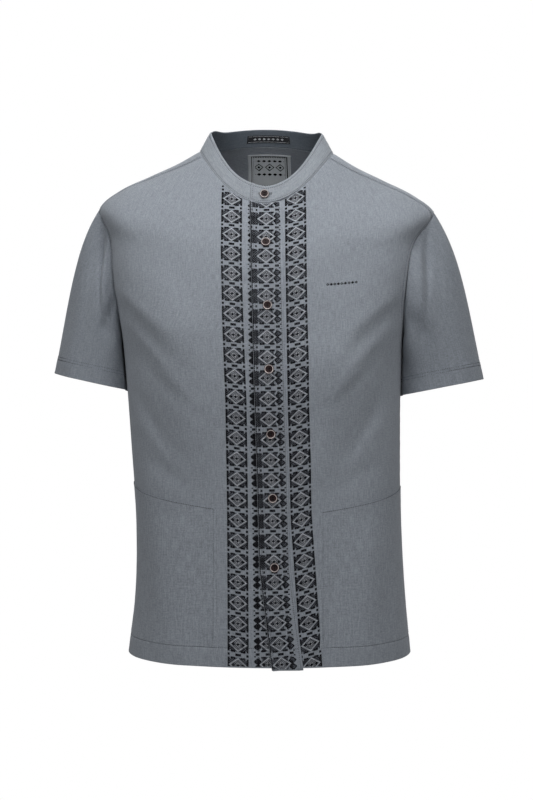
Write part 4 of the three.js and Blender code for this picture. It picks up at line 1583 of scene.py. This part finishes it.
@dataclass
class Embroidery:
    """A woven-look band: diamonds in a column, charted row by row in three threads.

    Every row lies across the band, and a run of one thread in a row is one or more satin stitches.
    """

    name: str
    cloth: Cloth
    surface: Surface
    centre: Array
    reach: Size = (-14.8, 14.8)
    lobes: int = 0
    heart: int = 2
    start: float = 1.4
    end: float = 773.0
    phase: float = 417.4
    slant: float = 0.0
    keep: Callable[[Array], Pair] | None = None
    repeat: float = 27.6
    rows: int = 35
    step: float = 0.34
    longest: int = 12

    def chart(self, u: Array, v: Array) -> Array:
        """The thread at a place of the repeat: 0 none, 1 dark, 2 hatched, 3 light.

        A light ring |u| / 11.2 + |v| / 8.9 = 1 holds a lattice and three dark eyes. Striped corners
        end in a dark stepped column at the band's edge and a short bar by each apex. A dash and two
        dots lie between two diamonds. Paired lozenges stand beyond it on the side of the lobes.

        Args:
            u: Millimetres across the band from its middle line.
            v: Millimetres up from the diamond's middle.

        Returns:
            Thread numbers.
        """
        across, up = np.abs(u), np.abs(v)
        ring = across / 11.2 + up / 8.9
        ink = np.zeros(np.broadcast(u, v).shape, int)
        wide = np.where(u * self.lobes < 0, 22.0, 14.4)
        block = (up < 9.6) & (across < wide) & (ring > 1.14)
        ink[block] = 2
        ink[block & ((across * 0.8 + up) % 2.8 < 1.1)] = 1
        ink[block & (across > wide - 2.2 - 1.3 * ((up % 3.2) < 1.6))] = 1
        ink[block & (across > 10.2) & (across < 11.4) & (up > 7.4)] = 0
        dash = up > 12.2
        ink[dash & (across > wide - 3.2) & (across < wide - 0.2)] = 1
        if self.lobes:
            off = np.abs(u - self.lobes * 14.6)
            lobe = (off / 5.2) ** 1.25 + (np.abs(up - 4.2) / 4.4) ** 1.25
            beyond = u * self.lobes > 8.6
            ink[beyond & ((ring > 1.3) | (up > 9))] = 0
            ink[beyond & (lobe < 1) & (ring > 1.12)] = 1
            ink[beyond & (lobe < 0.5) & (ring > 1.12)] = self.heart
            ink[block & (across > 12) & ((across + up) % 3.1 > 0.8)] = 1
            ink[(off < 2.6) & dash] = 1
            ink[(u * self.lobes < 0) & (np.abs(across - 13.4) < 1.2) & dash] = 1
            ink[(np.abs(up - 10.4) < 1.0) & (np.abs(u * self.lobes - 18.2) < 1.2)] = 1
        ink[(across > 3.6) & (across < 10.0) & (up > 7.9) & (up < 10.6) & (ring > 1.14)] = 1
        ink[ring < 0.9] = 2
        ink[(ring < 0.84) & ((u - 1.2 * v) % 2.7 < 0.6)] = 3
        ink[(ring >= 0.92) & (ring < 1.03)] = 3
        ink[np.abs(across - 6.4) / 2.5 + up / 2.3 < 1] = 1
        core = across / 3.4 + up / 2.9
        ink[(core > 0.9) & (core < 1.2) & (across > 0.8) & (up > 0.8)] = 3
        ink[core < 0.66] = 1
        ink[dash & (across < 3.9)] = 1
        return ink

    def build(self) -> Object:
        """Tiles the repeat up the band's middle line and lays every run on the cloth.

        A row crosses the middle line squarely, then droops: z falls by u times the sum of the
        line's lean and the row's slant as u grows. Depth counts six tenths in the length, so that
        the repeats stay tall where the chest slopes.
        """
        places = np.arange(self.reach[0], self.reach[1], self.step)
        v = (np.arange(self.rows) + 0.5) * self.repeat / self.rows - self.repeat / 2
        row, low, high, thread = runs(self.chart(places[None], v[:, None]), self.longest)
        low, high = (places[0] + (end - 0.5) * self.step for end in (low, high))
        rise = np.arange(-10, self.cloth.neck + 10.0, 1.0)
        x = np.interp(rise, self.centre[:, 0], self.centre[:, 1])
        z = self.cloth.level(x, rise)
        run = arc(self.cloth.place(self.cloth.turn_at(x, rise), rise) * np.array([1, 0.6, 1]))
        shift = np.interp(self.phase, rise, run) % self.repeat
        count = int(run[-1] / self.repeat) + 2
        along = (shift + self.repeat * (np.arange(count)[:, None] - 1) + v[row][None]).ravel()
        low, high, thread = (np.tile(values, count) for values in (low, high, thread))
        middle_x, middle_z = np.interp(along, run, x), np.interp(along, run, z)
        lean = np.interp(along, run, np.gradient(x) / np.gradient(z))
        if self.keep is not None:
            limits = self.keep(self.cloth.rise_at(middle_x, middle_z)) - middle_x
            low, high = np.maximum(low, limits[0]), np.minimum(high, limits[1])
        ends, rises = [], []
        for u in (low, high):
            rises.append(self.cloth.rise_at(middle_x + u, middle_z - u * (lean + self.slant)))
            ends.append(self.surface(middle_x + u, rises[-1]))
        within = (np.minimum(*rises) > self.start) & (np.maximum(*rises) < self.end) & (high - low > 0.2)
        within &= (along > 0) & (along < run[-1])
        first, last = ends[0][0][within], ends[1][0][within]
        normal = unit(ends[0][1] + ends[1][1])[within]
        uv = (np.stack([low, along], -1)[within], np.stack([high, along], -1)[within])
        threads = [Finish.DARK, Finish.HATCH, Finish.LIGHT]
        width = self.repeat / self.rows * 0.98
        return bars(self.name, first, last, normal, threads, thread[within] - 1, uv, width)


def runs(ink: Array, longest: int) -> tuple[Array, Array, Array, Array]:
    """Runs of one thread along the rows of a chart.

    Args:
        ink: Rows by columns of thread numbers, 0 for none.
        longest: The most columns in a run.

    Returns:
        Row, first column, column after the last, and thread of each run.
    """
    count, wide = ink.shape
    change = np.ones((count, wide + 1), bool)
    change[:, 1:-1] = (np.diff(ink, axis=1) != 0) | (np.arange(1, wide) % longest == 0)
    row, begin = np.nonzero(change[:, :-1])
    _, stop = np.nonzero(change[:, 1:])
    thread = ink[row, begin]
    used = thread > 0
    return row[used], begin[used], stop[used] + 1, thread[used]


# ---- buttons, buttonholes, labels and the chest motif


BUTTON_PROFILE = np.array(  # radius, height
    [
        [0, 0], [3, 0], [5.2, 0], [6.0, 0.35], [6.4, 0.9], [6.5, 1.5], [6.42, 2.1], [6.2, 2.6], [5.9, 2.9],
        [5.6, 3.0], [5.3, 2.95], [5.05, 2.75], [4.85, 2.45], [4.6, 2.25], [4.2, 2.12], [3.6, 2.05],
        *([r, 2.0] for r in (3, 2.75, 2.6, 2.45, 2.25, 2, 1.75, 1.5, 1.25, 1.05, 0.9, 0.75, 0.4, 0)),
    ]
)


@dataclass
class Buttons:
    """Seven buttons, each with a raised pale rim and four holes in a dark dish."""

    cloth: Cloth
    fronts: Fronts
    placket: Placket
    collar: Collar
    heights: tuple[float, ...] = (-141, -226, -311, -397, -483, -576)
    collar_x: float = 1.5
    centre: float = 19.5
    segments: int = 72
    hole_ring: float = 1.75
    hole: float = 0.8
    profile: Array = field(default_factory=lambda: BUTTON_PROFILE)
    rim_rows: tuple[int, int] = (8, 12)
    rises: Array = field(init=False, repr=False)

    def seats(self) -> list[Pair]:
        """Where each button lies and the way that it faces, the collar's first."""
        turn = self.cloth.turn_at(np.array([self.collar_x]), np.array([self.cloth.neck]))
        point, normal = self.collar.on(turn, np.array([0.5]))
        seats = [(point[0] + normal[0] * 0.4, normal[0])]
        rise = np.interp(self.heights, self.cloth.rings[:, 1], self.cloth.rings[:, 0])
        for _ in range(6):
            rise = rise + (self.heights - self.cloth.ring(rise)[0]) / (
                self.cloth.ring(rise + 0.5)[0] - self.cloth.ring(rise - 0.5)[0]
            )
        turn = self.cloth.turn_at(self.fronts.placket_edge(rise) + self.centre, rise)
        seats += list(zip(*self.cloth.on(turn, rise, 1.9)))
        self.rises = rise
        return seats

    def build(self) -> None:
        """Turns the profile round each seat; the holes are pits pressed into the dish."""
        angle = np.linspace(0, 2 * np.pi, self.segments, endpoint=False)
        radius, height = self.profile[:, 0], self.profile[:, 1]
        flat = radius[:, None, None] * np.stack([np.cos(angle), np.sin(angle)], -1)
        corners = self.hole_ring / np.sqrt(2) * np.array([[1, 1], [-1, 1], [-1, -1], [1, -1]])
        away = np.linalg.norm(flat[:, :, None] - corners, axis=-1).min(-1)
        top = np.arange(len(radius)) > self.rim_rows[1]
        pits = 1.5 * (1 - smooth(away, self.hole - 0.12, self.hole + 0.12)) * top[:, None]
        inside = slice(1, len(radius) - 1)
        ring = join([flat[inside], (height[:, None] - pits)[inside][..., None]], -1)
        rows = ring.shape[0]
        local = join([ring.reshape(-1, 3), [[0, 0, height[0]], [0, 0, height[-1]]]])
        quads = grid_faces(rows, self.segments, True)
        low, last = np.arange(self.segments), rows * self.segments
        high = low + last - self.segments
        bottom = np.stack([0 * low + last, np.roll(low, -1), low], -1)
        lid = np.stack([0 * low + last + 1, high, np.roll(high, -1)], -1)
        faces = join([quads[:, [0, 1, 2]], quads[:, [0, 2, 3]], bottom, lid])
        band = np.repeat(np.arange(rows - 1), self.segments)
        rim = ((band >= self.rim_rows[0] - 1) & (band < self.rim_rows[1] - 1)).astype(int)
        slots = join([rim, rim, np.zeros(2 * self.segments)])
        threads = []
        for k, (point, normal) in enumerate(self.seats()):
            right = unit(np.cross([0, 0, 1], -normal))
            right = right if right[0] > 0 else -right
            up = np.cross(normal, right)
            frame = np.stack([right, up, normal])
            name = "button_%d" % (k + 1)
            finishes = [Finish.BUTTON.material, Finish.RIM.material]
            piece = new_object(name, point + local @ frame, faces, finishes, None, slots)
            dress(piece, name, slot="button")
            for row in (corners[[0, 1]], corners[[3, 2]]):
                for shift in (-0.22, 0.22):
                    line = join([row + [0, shift], [[2.05], [2.05]]], 1)
                    threads.append((point + line @ frame, np.stack([normal, normal])))
        sew("button_threads", threads, Finish.DARK, 9.0, 3.2, 0.24)


@dataclass
class Buttonholes:
    """Worked buttonholes: upright in the placket, level in the collar."""

    buttons: Buttons
    long: float = 15
    slit: float = 0.45
    lip: float = 1.15
    pitch: float = 0.62

    def chart(self, centre: float) -> tuple[Array, Array, Array]:
        """Both ends across the slit and the place along it, for every stitch of one hole."""
        half = self.long / 2
        along = np.arange(-half, half, self.pitch) + centre
        ends = np.array([-half - 0.4, half + 0.4]) + centre
        outer = self.slit + self.lip
        start = join([np.full_like(along, -outer), np.full_like(along, self.slit), [-outer, -outer]])
        stop = join([np.full_like(along, -self.slit), np.full_like(along, outer), [outer, outer]])
        return start, stop, join([along, along, ends])

    def build(self) -> None:
        """Lays the stitches on the placket and on the collar."""
        buttons = self.buttons
        start, stop, along = self.chart(0.0)
        rise = (np.asarray(buttons.rises)[:, None] + along).ravel()
        start, stop = (np.tile(ends, len(buttons.rises)) for ends in (start, stop))
        x = buttons.fronts.placket_edge(rise) + buttons.centre
        first, normal = buttons.placket.surface(x + start, rise)
        last, _ = buttons.placket.surface(x + stop, rise)
        bars("placket_buttonholes", first, last, normal, [Finish.SEWING], width=0.6, height=0.25)
        start, stop, along = self.chart(0.8)
        turn = buttons.cloth.turn_at(np.array(buttons.collar_x), np.array(buttons.cloth.neck)) + along / 1.4
        first, normal = buttons.collar.surface(turn, 0.5 + start / buttons.collar.tall)
        last, _ = buttons.collar.surface(turn, 0.5 + stop / buttons.collar.tall)
        bars("collar_buttonhole", first, last, normal, [Finish.SEWING], width=0.6, height=0.25)


@dataclass
class Label:
    """One satin label, stretched on a piece, with an ornament woven in."""

    name: str
    size: Size
    place: Callable[[Array, Array, float], Pair]
    depth: float
    pitch: float
    on: str
    satin: Finish
    thread: Finish
    step: float = 0.6

    def sheet(self) -> None:
        """The label's cloth: its edges are folded under, so they stand a little thicker."""
        wide, tall = self.size
        near = np.array([0, 0.5, 1.2, 2.0, 3.0])
        across = join([near, np.linspace(5, wide - 5, 26), wide - near[::-1]]) - wide / 2
        up = join([near, np.linspace(4, tall - 4, max(4, int(tall / 3))), tall - near[::-1]])
        across, up = np.meshgrid(across, up)
        inset = np.minimum(wide / 2 - np.abs(across), np.minimum(up, tall - up))
        outer, facing = self.place(across, up, self.depth)
        lift = 0.25 - 0.22 * bump(inset, 0.6) - 0.12 * smooth(inset, 2.2, 3.4)
        outer = outer + facing * lift[..., None]
        inner, _ = self.place(across, up, self.depth - 0.6)
        uv = np.stack([across + 20, up], -1)
        piece = shell(self.name, outer, inner, uv, [self.satin.material] * 2)
        dress(piece, self.name, slot=self.name)
        declare(outer)

    def chart(self) -> tuple[Array, Array, Array]:
        """Places across and up the label's chart, and their distance from its nearest edge."""
        wide, tall = self.size
        a = np.arange(0, wide, self.step)[None] + self.step / 2 - wide / 2
        b = np.arange(int(tall / self.pitch))[:, None] * self.pitch + self.pitch / 2
        return a, b, np.minimum(wide / 2 - np.abs(a), np.minimum(b, tall - b))

    def weave(self, ink: Array) -> None:
        """Lays a chart of its thread over the label, as bars along its rows."""
        row, low, high, _ = runs(ink.astype(int), 12)
        up, depth = (row + 0.5) * self.pitch, self.depth - 0.18
        first, facing = self.place(low * self.step - self.size[0] / 2, up, depth)
        last, _ = self.place(high * self.step - self.size[0] / 2, up, depth)
        wide = self.pitch * 0.96
        bars(self.name + "_weave", first, last, facing, [self.thread], width=wide, height=0.42, slot=self.name)


@dataclass
class Labels:
    """The two labels inside the neck, with woven frames and a plain ornament of lozenges."""

    cloth: Cloth
    collar: Collar
    neck_size: Size = (64, 90)
    neck_foot: float = 664
    band_size: Size = (57, 10.5)
    band_shares: Size = (0.26, 0.68)

    def on_yoke(self, across: Array, up: Array, depth: float) -> Pair:
        """Points under the yoke's inner face and the way that the label faces, into the neck."""
        turn = 180 - np.degrees(across / self.cloth.ring(self.neck_foot + up)[3])
        point, normal = self.cloth.on(turn, self.neck_foot + up, -depth)
        return point, -normal

    def on_band(self, across: Array, up: Array, depth: float) -> Pair:
        """Points under the collar's inner face and the way that the label faces."""
        low, high = self.band_shares
        turn = 180 - np.degrees(across / (self.cloth.rings[-1, 4] - 15))
        point, normal = self.collar.on(turn, low + (high - low) * up / self.band_size[1])
        return point - normal * depth, -normal

    def build(self) -> None:
        """Both labels, their frames and the ornament."""
        label = Label("neck_label", self.neck_size, self.on_yoke, 1.95, 0.9, "yoke", Finish.LABEL, Finish.DARK)
        label.sheet()
        a, b, edge = label.chart()
        frame = ((edge > 4.6) & (edge < 6.2)) | ((edge > 7.6) & (edge < 8.6) & (((a + b) % 3.6) < 2.0))
        large = np.abs((a + 8) % 16 - 8) / 7.2 + np.abs(b - 52) / 11
        small = np.abs((a + 4) % 8 - 4) / 3.4 + np.minimum(np.abs(b - 33), np.abs(b - 71)) / 3.4
        ornament = ((large > 0.74) & (large < 1.0)) | (large < 0.34) | (small < 1)
        label.weave(frame | ((np.abs(a) < 22) & ornament))
        finishes = (Finish.LABEL_DARK, Finish.LIGHT)
        label = Label("collar_label", self.band_size, self.on_band, 2.85, 0.5, "collar_band", *finishes)
        label.sheet()
        a, b, edge = label.chart()
        lozenge = np.abs((a + 3) % 6 - 3) / 2.2 + np.abs(b - self.band_size[1] / 2) / 1.5
        label.weave(((edge > 1.0) & (edge < 1.55)) | ((lozenge < 1) & (np.abs(a) < 20)))


@dataclass
class ChestMotif:
    """A short row of small lozenges on the left chest, in dark thread."""

    fronts: Fronts
    x: float = 110
    rise: float = 527
    wide: float = 45
    tall: float = 4.8
    step: float = 0.35
    pitch: float = 0.6

    def build(self) -> None:
        """Nine lozenges: |a| / 2.3 + |b| / 2.5 is less than 1, bare at every second heart."""
        a = np.arange(0, self.wide, self.step)[None] - self.wide / 2
        b = np.arange(0, self.tall, self.pitch)[:, None] + self.pitch / 2 - self.tall / 2
        shape = np.abs((a + 2.5) % 5 - 2.5) / 2.3 + np.abs(b) / 2.5
        bare = (shape < 0.4) & (np.abs((a + 5) % 10 - 5) < 2.5)
        row, low, high, _ = runs(((shape < 1) & ~bare).astype(int), 10)
        rise = self.rise + b[row, 0]
        first, normal = self.fronts.surface(Side.LEFT, self.x - self.wide / 2 + low * self.step, rise)
        last, _ = self.fronts.surface(Side.LEFT, self.x - self.wide / 2 + high * self.step, rise)
        bars("chest_motif", first, last, normal, [Finish.DARK], width=0.58, height=0.3)


@dataclass(frozen=True)
class Studio:
    """A white room: keys on both sides, a broad light above, a fill behind, floor and camera."""

    eye: Triple = (0.115, -2.197, -0.352)
    aim: Triple = (0.0, 0.0, -0.352)
    lens: float = 104.6
    floor: float = -1.3
    room_light: float = 0.15
    backdrop: float = 1.0

    def light(
        self, name: str, place: Triple, size: float, watts: float, spread: float = 180, aim: float = -0.3
    ) -> None:
        """A square area light that faces the shirt at the height aim; a small spread keeps to it."""
        data = bpy.data.lights.new(name, "AREA")
        data.shape, data.size, data.energy = "SQUARE", size, watts
        data.spread = np.radians(spread)
        lamp = bpy.data.objects.new(name, data)
        bpy.context.scene.collection.objects.link(lamp)
        lamp.location = place
        self.face(lamp, (0, 0, aim))

    @staticmethod
    def face(obj: Object, target: Sequence[float]) -> None:
        """Turns an object's -Z axis to a place."""
        away = Vector(target) - Vector(obj.location)
        obj.rotation_euler = away.to_track_quat("-Z", "Y").to_euler()

    def build(self) -> None:
        """Makes the room."""
        scene = bpy.context.scene
        scene.view_settings.view_transform = "Standard"
        camera = bpy.data.objects.new("camera", bpy.data.cameras.new("camera"))
        scene.collection.objects.link(camera)
        camera.location = self.eye
        camera.data.sensor_fit, camera.data.sensor_width, camera.data.lens = "HORIZONTAL", 36, self.lens
        self.face(camera, self.aim)
        scene.camera = camera
        world = bpy.data.worlds.new("room")
        scene.world = world
        world.use_nodes = True
        tree = world.node_tree
        tree.nodes.clear()
        kinds = ("LightPath", "MixShader", "Background", "Background", "OutputWorld")
        seen, mix, near, far, output = (tree.nodes.new("ShaderNode" + kind) for kind in kinds)
        for room, strength in ((near, self.room_light), (far, self.backdrop)):
            room.inputs["Color"].default_value = (1, 1, 1, 1)
            room.inputs["Strength"].default_value = strength
        for number, source in enumerate((seen.outputs["Is Camera Ray"], near.outputs[0], far.outputs[0])):
            tree.links.new(source, mix.inputs[number])
        tree.links.new(mix.outputs[0], output.inputs[0])
        for side in Side:
            self.light(side.word + "_key", (1.1 * side.value, -1.8, 0.6), 0.8, 1.35, 70, -0.1)
        self.light("high_front", (0.0, -2.4, 0.9), 0.6, 0.16, 20, -0.13)
        self.light("top", (0.08, -0.85, 1.6), 1.1, 24.5)
        self.light("back_fill", (0.0, 2.2, 1.6), 1.8, 26)
        corners = np.array([[-1, -1], [1, -1], [1, 1], [-1, 1]]) * 1.2
        corners = join([corners, np.full((4, 1), self.floor)], 1) / MM
        plain = Nodes("pale_floor").surface(Base_Color=(0.86, 0.86, 0.87, 1), Roughness=0.8)
        new_object("floor", corners, np.array([[0, 1, 2, 3]]), [plain], flat=True)


def embroider(cloth: Cloth, fronts: Fronts, placket: Placket) -> None:
    """The band on each front, the placket's, and what shows of the underlap's.

    Args:
        cloth: The body's map.
        fronts: The front panels.
        placket: The buttoned strip.
    """
    right, left = (partial(fronts.surface, side) for side in Side)
    lines = {
        "right": np.array([[-20, -31], [0, -31], [356, -33.5], [480, -38], [575, -40.5], [800, -44]]),
        "left": np.array([[-20, 69.5], [0, 68], [196, 53.5], [356, 50], [575, 46.5], [800, 43.2]]),
        "underlap": np.array([[-20, 10.6], [0, 10.2], [393, 3.4], [800, -2.0]]),
        "placket": np.array(
            [
                [-20, 31], [0, 28.4], [26, 24.9], [53, 22], [81, 19.4], [130, 17], [390, 9], [595, 5.9],
                [800, 4.4],
            ]
        ),
    }
    Embroidery("band_right", cloth, right, lines["right"], slant=0.14).build()
    Embroidery(
        "band_left", cloth, left, lines["left"], phase=418.4, slant=-0.2,
        keep=lambda rise: (fronts.placket_edge(rise) + fronts.placket_width + 0.6, 0 * rise + 999),
    ).build()
    middle = {"phase": 414.4, "repeat": 27.3}
    Embroidery(
        "band_placket", cloth, placket.surface, lines["placket"], (-23, 20), 1, start=-1.6, end=769.0, **middle,
        keep=lambda rise: (fronts.placket_edge(rise) + 0.1, fronts.placket_edge(rise) + 40.0),
    ).build()
    # The underlap's lobes are dark thread all through, hearts too, where the placket's have hatched hearts:
    # painted shade under the placket's edge.
    Embroidery(
        "band_underlap", cloth, right, lines["underlap"], (-20, 14), -1, 1, **middle,
        keep=lambda rise: (0 * rise - 999, fronts.placket_edge(rise) + 0.2),
    ).build()


def main() -> None:
    """Builds the shirt's pieces in order, then the room."""
    logging.basicConfig(level=logging.INFO, format="%(message)s")
    cloth = CLOTH
    fronts = Fronts(cloth)
    for side in Side:
        fronts.build(side)
        fronts.stitch(side)
    back, yoke, placket = Back(cloth), Yoke(cloth), Placket(cloth, fronts)
    for part in (
        back, yoke, placket,
        Pocket(cloth, fronts, Side.RIGHT, -61, 0.982, 207, 240),
        Pocket(cloth, fronts, Side.LEFT, 79, 0.978, 203, 234),
    ):
        part.build()
        part.stitch()
    embroider(cloth, fronts, placket)
    sleeves = [Sleeve(cloth, Side.RIGHT, (-248, 21, -326), 58, 66, 26, SLEEVE_CREASES)]
    mirrored = SLEEVE_CREASES * np.array([1, 1, 1, 1, 1.1, 0.85]) + np.array([4, 0.02, -5, 0.03, 0, 0])
    sleeves.append(Sleeve(cloth, Side.LEFT, (247, 21, -334), 61, 65, 24, mirrored))
    collar = Collar(cloth)
    for part in (*sleeves, collar):
        part.build()
        part.stitch()
    buttons = Buttons(cloth, fronts, placket, collar)
    buttons.build()
    Buttonholes(buttons).build()
    Labels(cloth, collar).build()
    ChestMotif(fronts).build()
    Studio().build()


if __name__ == "__main__":
    main()
